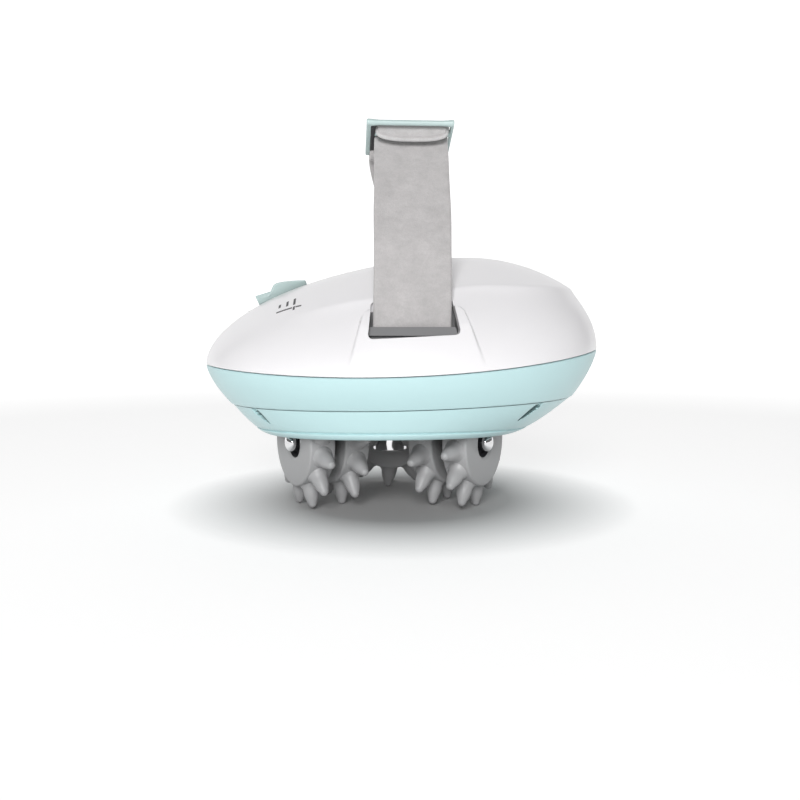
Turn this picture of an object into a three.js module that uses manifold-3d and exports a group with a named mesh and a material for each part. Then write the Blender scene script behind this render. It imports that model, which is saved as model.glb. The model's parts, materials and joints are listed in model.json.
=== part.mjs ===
// Hand-held roller massager: a pebble-shaped body on three spiked rollers, with a strap over the hand.
// Millimetres, +Z up, +X to the body's blunt heel, -Y to the front. The origin is on the surface that
// the lowest spikes stand on, under the middle of the body.
import * as THREE from "three";
import { mergeVertices } from "three/addons/utils/BufferGeometryUtils.js";
import Module from "manifold-3d";

const wasm = await Module();
wasm.setup();

// Clearances
const SEAT_GAP = 0.3; // between pieces that rest on each other or sit in one another
const RUN_GAP = 0.35; // round a shaft, and beside a wheel
const SWEEP_GAP = 1.2; // between the turning rotor and what stands still

// Body outline and heights
const BODY_LENGTH = 152;
const BODY_DEPTH = 120;
const CROWN_HEIGHT = 43; // crown above the parting line's middle
const CROWN_X = 25;
const PARTING_RISE = 3; // how much the parting line climbs from the middle to the heel, and falls to the nose
const PARTING_BOW = 5; // and its two ends lie this much above its middle
const PARTING_ABOVE_LIP = 24.5;
const LIP_ABOVE_HUBS = 2.5;
const LIP_BOW = 2; // the lip is this much higher at the front and rear than at the nose and heel
const WALL = 2.4;
const CREASE_SHARE = 0.57; // how far down the lower body the crease between shell and ring lies
const WAIST_LOSS = 0.28; // share of the outline that is lost from the parting line to the lip
const RING_INSET = 0.6; // the base ring stands back from the lower shell at the crease
const RING_KNEE_ALONG = 0.65; // the bend of the base ring, as shares of the way from crease to lip
const RING_KNEE_ABOVE = 0.12;
const SKIRT_WALL = 2;
const WEB_THICKNESS = 2.2;

// Rollers
const SPIKE_HEIGHT = 8.5;
const SPIKES_PER_WHEEL = 12;
const SPIKE_TIP_RADIUS = 1;
const SPIKE_FOOT_RADIUS = 3.1;
const WHEEL_RADIUS = 16.5;
const WHEEL_WIDTH = 10;
const WHEEL_EDGE = 1.3;
const HUB_RECESS_RADIUS = 6;
const HUB_RECESS_DEPTH = 3.5;
const AXLE_RADIUS = 2.2;
const AXLE_HEAD_RADIUS = 3;
const AXLE_HEAD_PROUD = 2.7; // how far the domed head stands out of the wheel's face
const AXLE_SOCKET_DEPTH = 2.9;
const ARM_THICKNESS = 3.3;
const ARM_FOOT_RADIUS = 5.6;
const ARM_TOP_WIDTH = 15;
const ARM_TENON_WIDTH = 9;
const SPACER_LENGTH = 10.2;
const SPACER_RADIUS = 3.9;
const ROLLER_ANGLES = [-154, -34, 86]; // degrees about +Z, from +X
const SPIKE_PHASES = [
  [-14, 6],
  [6, 15],
  [0, 3],
]; // outer and inner wheel of each roller, degrees from straight down

// Rotor and spindle
const ROTOR_X = -5;
const SPINDLE_RADIUS = 6.7;
const SPINDLE_BELOW_AXLES = 5.7;
const SHAFT_RADIUS = 3;
const DISC_GAP = 1;
const DISC_THICKNESS = 2.4;

// Gearbox
const CHASSIS_GAP = 1.4;
const CHASSIS_THICKNESS = 2.4;
const CHASSIS_RIM = 4.2; // the chassis plate's rim beyond the cavity
const GEAR_LIFT = 1.7; // output gear above the chassis plate
const GEAR_WIDTH = 4;
const DRIVE_MODULE = 0.8;
const OUTPUT_TEETH = 48;
const IDLER_SMALL_TEETH = 12;
const MOTOR_MODULE = 0.6;
const IDLER_LARGE_TEETH = 40;
const PINION_TEETH = 10;
const MOTOR_GEAR_WIDTH = 3;
const BRIDGE_GAP = 1.1;
const BRIDGE_THICKNESS = 2.2;
const PILLAR_RADIUS = 3.2;
const BUSH_WALL = 1.7;
const BUSH_FLANGE = 1.4;
const BUSH_FLANGE_THICKNESS = 0.8;
const IDLER_PIN_RADIUS = 1.5;
const MOTOR_RADIUS = 12;
const MOTOR_HEIGHT = 15.5;
const MOTOR_NOSE_RADIUS = 3.5;
const MOTOR_SHAFT_RADIUS = 1;
const SHAFT_IN_MOTOR = 6.2;
const MOTOR_EDGE = 1.5;
const TOOTH_ROOT_SHARE = 0.29; // half a tooth at its root, as a share of the pitch
const TOOTH_TIP_SHARE = 0.12;
const TOOTH_ABOVE_PITCH = 0.85; // in modules
const TOOTH_BELOW_PITCH = 1.3;

// Hand strap, its slots and its buckle
const STRAP_WIDTH = 26.9;
const STRAP_THICKNESS = 1.8;
const STRAP_LEAN = 2.8; // sideways, from the slots to the buckle
const PIN_RADIUS = 1.5;
const PIN_FROM_SIDE = 16.8; // from the outline's widest place in to a strap pin
const PIN_ABOVE_CHASSIS = 5.9;
const SLOT_SIDE_GAP = 2.15; // beside the strap
const SLOT_TAPER = 1.6; // each side leans in by this from the slot's foot to its head
const SLOT_HEIGHT = 12.5;
const SLOT_FOOT_ABOVE_PIN = 1.6;
const SLOT_BEHIND_PIN = 4;
const LINER_WALL = 1.2;
const SILL_HEIGHT = 3.3; // the liner's front sill, over the slot's foot
const SILL_BELOW_SKIN = 0.9;
const SILL_INSET = 0.8; // from the slot's sides
const BOSS_PROUD = 1.5;
const BOSS_BLEND = 6; // how fast the boss rises out of the dome above the parting line
const BOSS_FOOT_WIDTH = 46;
const BOSS_HEAD_WIDTH = 34.4;
const BOSS_BELOW_SLOT = 8;
const BOSS_HEIGHT = 17.8;
const LOOP_HEIGHT = 143.8; // top of the strap loop's front bar
const BUCKLE_Y = -16.5;
const BUCKLE_SLOPE = 20;
const STRAP_APPROACH = 55; // the straps meet the buckle at this angle from level
const BUCKLE_FRONT_PITCH = 6.5;
const BUCKLE_LENGTH = 20;
const BUCKLE_BAR_RADIUS = 1.3;
const BUCKLE_RAIL_WIDTH = 1.8;
const BUCKLE_LEFT_GAP = 2.2; // between the strap and the left rail
const BUCKLE_RIGHT_GAP = 0.4;
const TAB_THICKNESS = 1.8;
const TAB_LENGTH = 4.2;
const TAB_SIDE = 0.6; // straight part of the tab's sides

// Slide switch and power inlet
const SWITCH_FROM_NOSE = 29.5;
const SWITCH_END_MARGIN = 1; // of the window beyond the slider at the end of its travel
const SWITCH_SIDE_MARGIN = 0.6;
const SWITCH_BODY_WALL = 1.5;
const SLIDER_LENGTH = 20;
const SLIDER_WIDTH = 8;
const SLIDER_TRAVEL = 4; // each way from the middle position
const SLIDER_LIP = 3.2; // heights along its wave, from the nose end up the slope
const SLIDER_LOW = 1.8;
const SLIDER_HIGH = 4.5;
const SLIDER_TAIL = 1.3;
const SLIDER_SINK = 1; // the track lies this far below the shell's surface
const TRACK_THICKNESS = 1.4;
const STEM_LENGTH = 5;
const STEM_WIDTH = 2.2;
const STEM_DEPTH = 4.4;
const SWITCH_BODY_HEIGHT = 5;
const INLET_RADIUS = 4.2;
const INLET_BORE = 2.8;
const INLET_LENGTH = 13;
const INLET_DEPTH = 9;
const INLET_ABOVE_PARTING = 10;

// Circuit board and screws
const BOARD_X = -42;
const BOARD_LENGTH = 22;
const BOARD_WIDTH = 30;
const BOARD_THICKNESS = 1.6;
const CHIP_SIZE = [6, 7, 1.4];
const CHIP_Y = -4.5;
const SOCKET_SIZE = [10, 6, 4];
const SOCKET_Y = 7;
const STANDOFF_HEIGHT = 3;
const STANDOFF_RADIUS = 1.8;
const SCREW_RADIUS = 1.2;
const SCREW_HEAD_RADIUS = 2.5;
const SCREW_HEAD_HEIGHT = 1.7;
const SCREW_BOSS_WALL = 1.5;
const SHELL_SCREW_X = 57;
const SHELL_SCREW_Y = 18;
const SHELL_SCREW_LENGTH = 20;
const CHASSIS_SCREW_ANGLES = [30, 150, 210, 330];
const CHASSIS_SCREW_LENGTH = 9;

// Base ring notches
const NOTCH_ANGLES = [215, 145, -47, 47];
const NOTCH_WIDTH = 5;
const NOTCH_DEPTH = 1.2;
const NOTCH_SPAN = [0.06, 0.5]; // from the crease towards the lip, as shares

// Facets
const BODY_SIDES = 32;
const DOME_STEPS = 7;
const WHEEL_SIDES = 20;
const ROUND_SIDES = 12;
const SPIKE_SIDES = 5;
const WAIST_STEPS = 3;
const RING_STEPS = 3;

// Heights that follow
const HUB_Z = WHEEL_RADIUS + SPIKE_HEIGHT;
const LIP_Z = HUB_Z + LIP_ABOVE_HUBS;
const PARTING_Z = LIP_Z + PARTING_ABOVE_LIP;
const CROWN_Z = PARTING_Z + CROWN_HEIGHT;
const SWITCH_X = SWITCH_FROM_NOSE - BODY_LENGTH / 2;
const DISC_Z = HUB_Z + WHEEL_RADIUS + SPIKE_HEIGHT + DISC_GAP;
const CHASSIS_Z = DISC_Z + DISC_THICKNESS + CHASSIS_GAP;
const CHASSIS_TOP = CHASSIS_Z + CHASSIS_THICKNESS;
const OUTPUT_GEAR_Z = CHASSIS_TOP + GEAR_LIFT;
const MOTOR_GEAR_Z = OUTPUT_GEAR_Z + GEAR_WIDTH + SEAT_GAP * 2;
const BRIDGE_Z = MOTOR_GEAR_Z + MOTOR_GEAR_WIDTH + BRIDGE_GAP;
const BRIDGE_TOP = BRIDGE_Z + BRIDGE_THICKNESS;

// Rotor radii that follow, counted outwards along an axle
const INNER_WHEEL_IN = SPINDLE_RADIUS + RUN_GAP + SPACER_LENGTH + RUN_GAP;
const ARM_IN = INNER_WHEEL_IN + WHEEL_WIDTH + RUN_GAP;
const OUTER_WHEEL_IN = ARM_IN + ARM_THICKNESS + RUN_GAP;
const OUTER_WHEEL_OUT = OUTER_WHEEL_IN + WHEEL_WIDTH;
const AXLE_END = OUTER_WHEEL_OUT + AXLE_HEAD_PROUD;
const SWEEP_RADIUS = Math.max(
  Math.hypot(OUTER_WHEEL_OUT, WHEEL_RADIUS - WHEEL_EDGE),
  Math.hypot(OUTER_WHEEL_OUT - WHEEL_WIDTH / 2 + SPIKE_TIP_RADIUS, WHEEL_RADIUS + SPIKE_HEIGHT),
  Math.hypot(AXLE_END, AXLE_HEAD_RADIUS / 2),
);
const CAVITY_RADIUS = SWEEP_RADIUS + SWEEP_GAP;
const COLLAR_RADIUS = CAVITY_RADIUS + SKIRT_WALL;
const CHASSIS_RADIUS = CAVITY_RADIUS + CHASSIS_RIM;
const IDLER_X = ROTOR_X + (DRIVE_MODULE * (OUTPUT_TEETH + IDLER_SMALL_TEETH)) / 2;
const MOTOR_X = IDLER_X + (MOTOR_MODULE * (IDLER_LARGE_TEETH + PINION_TEETH)) / 2;
const SCREW_COLUMN_RADIUS = SCREW_HEAD_RADIUS + SEAT_GAP + SCREW_BOSS_WALL;
const CHASSIS_SCREW_CIRCLE = COLLAR_RADIUS + SCREW_COLUMN_RADIUS - SCREW_BOSS_WALL / 2;

// Slot values that follow
const PIN_Z = CHASSIS_TOP + PIN_ABOVE_CHASSIS;
const SLOT_FOOT_Z = PIN_Z + SLOT_FOOT_ABOVE_PIN;
const SLOT_HALF_FOOT = STRAP_WIDTH / 2 + SLOT_SIDE_GAP;
const PIN_Y = BODY_DEPTH / 2 - PIN_FROM_SIDE;
const SLOT_BACK_Y = PIN_Y - SLOT_BEHIND_PIN;
const EYE_RADIUS = PIN_RADIUS + SEAT_GAP + STRAP_THICKNESS;

const rad = THREE.MathUtils.degToRad;
const mint = new THREE.MeshStandardMaterial({ color: 0xa9dcdf, roughness: 0.35, metalness: 0 });
const white = new THREE.MeshStandardMaterial({ color: 0xf2f1f3, roughness: 0.3, metalness: 0 });
const liner = new THREE.MeshStandardMaterial({ color: 0xc9c9cb, roughness: 0.5, metalness: 0 });
const grey = new THREE.MeshStandardMaterial({ color: 0xa8a8aa, roughness: 0.5, metalness: 0 });
const black = new THREE.MeshStandardMaterial({ color: 0x1c1c1e, roughness: 0.5, metalness: 0 });
const chrome = new THREE.MeshStandardMaterial({ color: 0xe6e6e8, roughness: 0.1, metalness: 1 });
const steel = new THREE.MeshStandardMaterial({ color: 0xb4b6b8, roughness: 0.3, metalness: 1 });
const brass = new THREE.MeshStandardMaterial({ color: 0xc8a75a, roughness: 0.35, metalness: 1 });
const nylon = new THREE.MeshStandardMaterial({ color: 0xe9e4d6, roughness: 0.5, metalness: 0 });
const board = new THREE.MeshStandardMaterial({ color: 0x2f6b46, roughness: 0.6, metalness: 0 });
const velour = new THREE.MeshStandardMaterial({ color: 0xbcb8b6, roughness: 0.95, metalness: 0 });

// A three.js geometry as a solid that can be joined and cut
function solidOf(geometry) {
  const bare = geometry.clone();
  bare.deleteAttribute("normal");
  bare.deleteAttribute("uv");
  const merged = mergeVertices(bare, 1e-4);
  return new wasm.Manifold(
    new wasm.Mesh({
      numProp: 3,
      vertProperties: merged.attributes.position.array,
      triVerts: new Uint32Array(merged.index.array),
    }),
  );
}

// A solid as a three.js geometry
function geometryOf(solid) {
  const mesh = solid.getMesh();
  const geometry = new THREE.BufferGeometry();
  geometry.setAttribute("position", new THREE.BufferAttribute(new Float32Array(mesh.vertProperties), 3));
  geometry.setIndex(new THREE.BufferAttribute(new Uint32Array(mesh.triVerts), 1));
  geometry.computeVertexNormals();
  return geometry;
}

// Adds one named piece to a group
function addPiece(group, name, shape, material) {
  const geometry = shape.isBufferGeometry ? shape : geometryOf(shape);
  const mesh = new THREE.Mesh(geometry, material);
  mesh.name = name;
  group.add(mesh);
  return mesh;
}

// An upright cylinder from one height to another
function column(radius, x, y, low, high, sides = ROUND_SIDES) {
  const geometry = new THREE.CylinderGeometry(radius, radius, high - low, sides);
  return solidOf(geometry.rotateX(Math.PI / 2).translate(x, y, (low + high) / 2));
}

// A cylinder along X
function rod(radius, from, to, y, z, sides = ROUND_SIDES) {
  const geometry = new THREE.CylinderGeometry(radius, radius, to - from, sides);
  return solidOf(geometry.rotateZ(Math.PI / 2).translate((from + to) / 2, y, z));
}

// A box by its two corners
function block(low, high) {
  const size = low.map((v, i) => high[i] - v);
  const middle = low.map((v, i) => (v + high[i]) / 2);
  return solidOf(new THREE.BoxGeometry(...size).translate(...middle));
}

// A turned piece: points are [radius, height] pairs, up the outside, about the Z axis
function turned(points, sides = ROUND_SIDES) {
  const profile = points.map(([r, h]) => new THREE.Vector2(r, h));
  return new THREE.LatheGeometry(profile, sides).rotateX(Math.PI / 2);
}

// A flat outline in XY, made thick upwards from a height
function plate(shape, low, thickness, curveSegments = 6) {
  const geometry = new THREE.ExtrudeGeometry(shape, { depth: thickness, bevelEnabled: false, curveSegments });
  return geometry.translate(0, 0, low);
}

// A closed body through rings of points that climb from the first to the last
function loft(rings) {
  const sides = rings[0].length;
  const points = rings.flat();
  const index = [];
  for (let level = 0; level < rings.length - 1; level++) {
    for (let i = 0; i < sides; i++) {
      const next = (i + 1) % sides;
      const [a, b] = [level * sides + i, level * sides + next];
      const [c, d] = [a + sides, b + sides];
      index.push(a, b, d, a, d, c);
    }
  }
  const foot = points.length;
  const head = foot + 1;
  const last = (rings.length - 1) * sides;
  points.push(centreOf(rings[0]), centreOf(rings[rings.length - 1]));
  for (let i = 0; i < sides; i++) {
    const next = (i + 1) % sides;
    index.push(foot, next, i, head, last + i, last + next);
  }
  const geometry = new THREE.BufferGeometry().setFromPoints(points);
  geometry.setIndex(index);
  return solidOf(geometry);
}

function centreOf(ring) {
  return ring.reduce((sum, p) => sum.add(p), new THREE.Vector3()).divideScalar(ring.length);
}

// One ring of points, from a function of the angle
function ringOf(pointAt) {
  return Array.from({ length: BODY_SIDES }, (_, i) => pointAt((i * 2 * Math.PI) / BODY_SIDES));
}

// Height of the parting line at a place along the body
function partingZ(x) {
  const share = x / (BODY_LENGTH / 2);
  return PARTING_Z + PARTING_RISE * share + PARTING_BOW * share * share;
}

// A point of the body's outline at the parting line, moved outwards by an offset
function rimPoint(angle, offset = 0) {
  const x = (BODY_LENGTH / 2 + offset) * Math.cos(angle);
  const y = (BODY_DEPTH / 2 + offset) * Math.sin(angle);
  return new THREE.Vector3(x, y, partingZ(x));
}

// How full the dome is in a direction: it is blunt at the heel, softer at the nose, flattest to the sides
function domeFullness(angle) {
  const end = Math.cos(angle) > 0 ? 2 : 1.8;
  return 1.5 + (end - 1.5) * Math.cos(angle) ** 2;
}

// A point of the dome: share is 1 at the parting line and 0 at the crown
function domePoint(angle, share, offset = 0) {
  const rim = rimPoint(angle, offset);
  const fullness = domeFullness(angle);
  const climb = (1 - share ** fullness) ** (1 / fullness);
  return new THREE.Vector3(
    CROWN_X + (rim.x - CROWN_X) * share,
    rim.y * share,
    rim.z + (CROWN_Z + offset - rim.z) * climb,
  );
}

// The dome as a solid, carried down below the parting line by a given depth
function dome(offset, below, rimOffset = offset) {
  const rings = [];
  if (below > 0) rings.push(ringOf((a) => rimPoint(a, offset).add(new THREE.Vector3(0, 0, -below))));
  for (let i = 0; i < DOME_STEPS; i++) {
    const share = Math.cos((i / DOME_STEPS) * (Math.PI / 2));
    const blend = Math.min(1, (1 - share) * BOSS_BLEND);
    const here = rimOffset + (offset - rimOffset) * blend;
    rings.push(ringOf((a) => domePoint(a, share, here)));
  }
  rings.push(ringOf((a) => domePoint(a, 0.05, offset)));
  return loft(rings);
}

// Height of the dome's outside over the long axis, found along the nose or heel direction
function domeHeightAt(x) {
  const angle = x < CROWN_X ? Math.PI : 0;
  const rim = rimPoint(angle);
  return domePoint(angle, (x - CROWN_X) / (rim.x - CROWN_X)).z;
}

// A point of the lower body: share is 0 at the parting line and 1 at the lip's height
function waistPoint(angle, share, offset = 0) {
  const kept = 1 - WAIST_LOSS * share ** 1.5;
  const rim = rimPoint(angle);
  const x = (BODY_LENGTH / 2 + offset) * kept * Math.cos(angle);
  const y = (BODY_DEPTH / 2 + offset) * kept * Math.sin(angle);
  return new THREE.Vector3(x, y, rim.z - (rim.z - LIP_Z) * share);
}

// The lower body between two shares, as a solid, its top ring moved up by a lift
function waist(from, to, offset, lift) {
  const steps = WAIST_STEPS;
  const up = new THREE.Vector3(0, 0, lift);
  const rings = [];
  for (let i = steps; i >= 0; i--) {
    const share = from + ((to - from) * i) / steps;
    rings.push(ringOf((a) => waistPoint(a, share, offset)));
  }
  rings.push(ringOf((a) => waistPoint(a, from, offset).add(up)));
  return loft(rings);
}

// A point of the base ring: share is 0 at the crease and 1 at the round lip
function ringPoint(angle, share, offset = 0) {
  const crease = waistPoint(angle, CREASE_SHARE, offset - RING_INSET);
  const radius = COLLAR_RADIUS + offset;
  const lipZ = LIP_Z + LIP_BOW * Math.sin(angle) ** 2;
  const lip = new THREE.Vector3(ROTOR_X + radius * Math.cos(angle), radius * Math.sin(angle), lipZ);
  const knee = crease.clone().lerp(lip, RING_KNEE_ALONG);
  knee.z = lipZ + (crease.z - lipZ) * RING_KNEE_ABOVE;
  const upper = crease.clone().lerp(knee, share);
  const lower = knee.clone().lerp(lip, share);
  return upper.lerp(lower, share);
}

// The base ring's outside as a solid, lowered from the crease by a gap
function ringBody(offset, topGap, bottomLift) {
  const steps = RING_STEPS;
  const rings = [];
  for (let i = steps; i >= 0; i--) {
    rings.push(
      ringOf((a) => {
        const point = ringPoint(a, i / steps, offset);
        if (i === 0) point.z -= topGap;
        if (i === steps) point.z += bottomLift;
        return point;
      }),
    );
  }
  return loft(rings);
}

// Where the four shell screws stand
function shellScrewSpots() {
  return [-1, 1].flatMap((sx) => [-1, 1].map((sy) => [sx * SHELL_SCREW_X, sy * SHELL_SCREW_Y]));
}

// Where the four chassis screws stand
function chassisScrewSpots() {
  return CHASSIS_SCREW_ANGLES.map((a) => [
    ROTOR_X + CHASSIS_SCREW_CIRCLE * Math.cos(rad(a)),
    CHASSIS_SCREW_CIRCLE * Math.sin(rad(a)),
  ]);
}

// Height of the crease at a place along the body
function creaseZ(x) {
  const z = partingZ(x);
  return z - (z - LIP_Z) * CREASE_SHARE;
}

// A strap slot's front outline as a prism through the shell's side: side is -1 at the front, 1 at the rear
function slotPrism(side, halfFoot, halfHead, foot, head, depth) {
  const outline = new THREE.Shape();
  outline.moveTo(-halfFoot, foot);
  outline.lineTo(halfFoot, foot);
  outline.lineTo(halfHead, head);
  outline.lineTo(-halfHead, head);
  const geometry = new THREE.ExtrudeGeometry(outline, { depth: BODY_DEPTH, bevelEnabled: false });
  geometry.rotateX(Math.PI / 2);
  if (side < 0) geometry.translate(0, -depth, 0);
  else geometry.translate(0, depth + BODY_DEPTH, 0);
  return solidOf(geometry);
}

function slotOpening(side) {
  const head = SLOT_FOOT_Z + SLOT_HEIGHT;
  const halfFoot = SLOT_HALF_FOOT;
  return slotPrism(side, halfFoot, halfFoot - SLOT_TAPER, SLOT_FOOT_Z, head, SLOT_BACK_Y);
}

// The raised pad round a slot
function slotBoss(side) {
  const foot = SLOT_FOOT_Z - BOSS_BELOW_SLOT;
  const head = foot + BOSS_HEIGHT;
  const prism = slotPrism(side, BOSS_FOOT_WIDTH / 2, BOSS_HEAD_WIDTH / 2, foot, head, SLOT_BACK_Y - WALL * 3);
  return dome(BOSS_PROUD, 0, 0).intersect(prism).subtract(dome(-WALL, 1));
}

// The white top shell with its slots, switch window, inlet hole and screw bosses
function upperShell() {
  const outside = dome(0, 0);
  const inside = dome(-WALL, 1);
  let shell = outside.subtract(inside);
  for (const side of [-1, 1]) shell = shell.add(slotBoss(side)).subtract(slotOpening(side));
  for (const [x, y] of shellScrewSpots()) {
    const foot = partingZ(x);
    const boss = column(SCREW_RADIUS + SEAT_GAP + SCREW_BOSS_WALL, x, y, foot, CROWN_Z).intersect(outside);
    const pilotTop = shellScrewSeat(x) + SHELL_SCREW_LENGTH + SEAT_GAP;
    const pilot = column(SCREW_RADIUS + SEAT_GAP, x, y, foot - 1, pilotTop);
    shell = shell.add(boss).subtract(pilot);
  }
  const window = switchBox(windowHalfLength, windowHalfWidth, -WALL * 2.5, WALL * 3);
  const inletHole = rod(INLET_RADIUS + SEAT_GAP, -BODY_LENGTH, inletInnerX(), 0, inletZ());
  return shell.subtract(window).subtract(inletHole);
}

// The mint lower shell: an outer wall, a round skirt, a web between them and screw columns
function lowerShell() {
  const start = SEAT_GAP / PARTING_ABOVE_LIP;
  const outside = waist(start, CREASE_SHARE, 0, 0.01);
  const hollow = waist(start, CREASE_SHARE, -WALL, WEB_THICKNESS * 2).translate([0, 0, WEB_THICKNESS]);
  const skirtTop = CHASSIS_Z - SEAT_GAP;
  const skirt = column(COLLAR_RADIUS, ROTOR_X, 0, LIP_Z, skirtTop, BODY_SIDES);
  const aboveCrease = waist(start, CREASE_SHARE, 0, CROWN_HEIGHT);
  let shell = outside.subtract(hollow).add(skirt.intersect(aboveCrease));
  for (const [x, y] of shellScrewSpots()) {
    const boss = column(SCREW_COLUMN_RADIUS, x, y, LIP_Z, partingZ(x) - SEAT_GAP * 2).intersect(aboveCrease);
    const head = column(SCREW_HEAD_RADIUS + SEAT_GAP, x, y, LIP_Z, shellScrewSeat(x));
    const shank = column(SCREW_RADIUS + SEAT_GAP, x, y, LIP_Z, CROWN_Z);
    shell = shell.add(boss).subtract(head).subtract(shank);
  }
  for (const [x, y] of chassisScrewSpots()) {
    const boss = column(SCREW_COLUMN_RADIUS, x, y, LIP_Z, skirtTop).intersect(aboveCrease);
    const foot = CHASSIS_TOP - CHASSIS_SCREW_LENGTH - SEAT_GAP;
    shell = shell.add(boss).subtract(column(SCREW_RADIUS + SEAT_GAP, x, y, foot, CROWN_Z));
  }
  return shell.subtract(column(CAVITY_RADIUS, ROTOR_X, 0, 0, CROWN_Z, BODY_SIDES));
}

// Where a shell screw's head stops in its column
function shellScrewSeat(x) {
  return creaseZ(x) + WEB_THICKNESS + SCREW_HEAD_HEIGHT;
}

// The mint base ring that carries the round lip, with its four finger notches
function baseRing() {
  const outside = ringBody(0, SEAT_GAP, 0);
  const pocket = ringBody(-WALL, -1, WALL);
  const skirt = column(COLLAR_RADIUS, ROTOR_X, 0, LIP_Z, CROWN_Z, BODY_SIDES);
  let ring = outside.subtract(pocket.subtract(skirt));
  for (const angle of NOTCH_ANGLES) ring = ring.subtract(notchCut(rad(angle)));
  return ring.subtract(column(CAVITY_RADIUS, ROTOR_X, 0, 0, CROWN_Z, BODY_SIDES));
}

// A slanted finger notch in the base ring's side, its steep side away from the middle
function notchCut(angle) {
  const [high, low] = NOTCH_SPAN.map((share) => ringPoint(angle, share));
  const length = high.distanceTo(low);
  const rise = high.clone().sub(low).normalize();
  const outward = new THREE.Vector3(Math.cos(angle) / BODY_LENGTH, Math.sin(angle) / BODY_DEPTH, 0);
  const across = new THREE.Vector3().crossVectors(rise, outward).normalize();
  const normal = new THREE.Vector3().crossVectors(across, rise);
  const place = new THREE.Matrix4().makeBasis(across, rise, normal).setPosition(high.lerp(low, 0.5));
  const deepest = (-Math.sign(Math.sin(2 * angle)) * NOTCH_WIDTH) / 6;
  const wedge = new THREE.Shape();
  wedge.moveTo(-NOTCH_WIDTH / 2, NOTCH_DEPTH);
  wedge.lineTo(deepest, -NOTCH_DEPTH);
  wedge.lineTo(NOTCH_WIDTH / 2, NOTCH_DEPTH);
  const geometry = new THREE.ExtrudeGeometry(wedge, { depth: length, bevelEnabled: false });
  geometry.rotateX(Math.PI / 2).translate(0, length / 2, 0);
  return solidOf(geometry.applyMatrix4(place));
}

// The switch's own frame: X runs up the nose's slope, Z stands out of the shell
const switchSlope = Math.atan2(domeHeightAt(SWITCH_X + 6) - domeHeightAt(SWITCH_X - 6), 12);
const switchPlace = new THREE.Matrix4()
  .makeRotationY(-switchSlope)
  .setPosition(SWITCH_X, 0, domeHeightAt(SWITCH_X));

const windowHalfLength = SLIDER_LENGTH / 2 + SLIDER_TRAVEL + SWITCH_END_MARGIN;
const windowHalfWidth = SLIDER_WIDTH / 2 + SWITCH_SIDE_MARGIN;

// A box in the switch's frame, about its middle, as a solid in the body's frame
function switchBox(halfLength, halfWidth, low, high) {
  const geometry = new THREE.BoxGeometry(halfLength * 2, halfWidth * 2, high - low);
  return solidOf(geometry.translate(0, 0, (low + high) / 2).applyMatrix4(switchPlace));
}

// The mint slider: a wave-shaped thumb piece with a stem that reaches into the switch
function switchSlider() {
  const half = SLIDER_LENGTH / 2;
  const side = new THREE.Shape();
  side.moveTo(-half, -SLIDER_SINK + SEAT_GAP);
  side.lineTo(half, -SLIDER_SINK + SEAT_GAP);
  side.lineTo(half, SLIDER_TAIL);
  side.quadraticCurveTo(half * 0.2, SLIDER_HIGH, -half * 0.08, SLIDER_HIGH);
  side.bezierCurveTo(-half * 0.3, SLIDER_HIGH, -half * 0.35, SLIDER_LOW, -half * 0.55, SLIDER_LOW);
  side.quadraticCurveTo(-half * 0.8, SLIDER_LOW, -half, SLIDER_LIP);
  const geometry = plate(side, -SLIDER_WIDTH / 2, SLIDER_WIDTH).rotateX(Math.PI / 2);
  geometry.applyMatrix4(switchPlace);
  const stem = switchBox(STEM_LENGTH / 2, STEM_WIDTH / 2, -STEM_DEPTH, 0);
  return solidOf(geometry).add(stem);
}

// The dark track plate under the slider, flush in the shell's window
function switchTrack() {
  const [halfLength, halfWidth] = [windowHalfLength - SEAT_GAP, windowHalfWidth - SEAT_GAP];
  const track = switchBox(halfLength, halfWidth, -SLIDER_SINK - TRACK_THICKNESS, -SLIDER_SINK);
  const slotHalf = STEM_LENGTH / 2 + SLIDER_TRAVEL + RUN_GAP;
  const slot = switchBox(slotHalf, STEM_WIDTH / 2 + RUN_GAP, -WALL * 4, WALL);
  return track.subtract(slot);
}

// The slide switch's case under the track, open along its top for the stem
function switchBody() {
  const top = -SLIDER_SINK - TRACK_THICKNESS - SEAT_GAP;
  const channelHalf = STEM_LENGTH / 2 + SLIDER_TRAVEL + RUN_GAP;
  const body = switchBox(channelHalf + SWITCH_BODY_WALL, SLIDER_WIDTH / 2, top - SWITCH_BODY_HEIGHT, top);
  const channel = switchBox(channelHalf, STEM_WIDTH / 2 + RUN_GAP, -STEM_DEPTH - RUN_GAP, WALL);
  return body.subtract(channel);
}

// Height of the power inlet, and where its hole ends inside the nose
function inletZ() {
  return partingZ(-BODY_LENGTH / 2) + INLET_ABOVE_PARTING;
}

function inletMouthX() {
  let x = -BODY_LENGTH / 2;
  while (domeHeightAt(x) < inletZ() - INLET_RADIUS) x += 0.05;
  return x;
}

function inletInnerX() {
  return inletMouthX() + INLET_LENGTH;
}

// The round power inlet in the nose: a black barrel with a blind socket, cut off along the dome
function powerInlet() {
  const barrel = rod(INLET_RADIUS, -BODY_LENGTH, inletInnerX() - SEAT_GAP, 0, inletZ());
  const bore = rod(INLET_BORE, -BODY_LENGTH, inletMouthX() + INLET_DEPTH, 0, inletZ());
  return barrel.intersect(dome(-SEAT_GAP, 0)).subtract(bore);
}

// A pan-head screw without its drive: the head lies below the shank if it points up, else above
function screw(x, y, headFace, length, pointsUp) {
  const way = pointsUp ? 1 : -1;
  const shank = [headFace, headFace + way * length].sort((a, b) => a - b);
  const head = [headFace - way * SCREW_HEAD_HEIGHT, headFace].sort((a, b) => a - b);
  return column(SCREW_RADIUS, x, y, ...shank, 8).add(column(SCREW_HEAD_RADIUS, x, y, ...head, 12));
}

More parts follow.
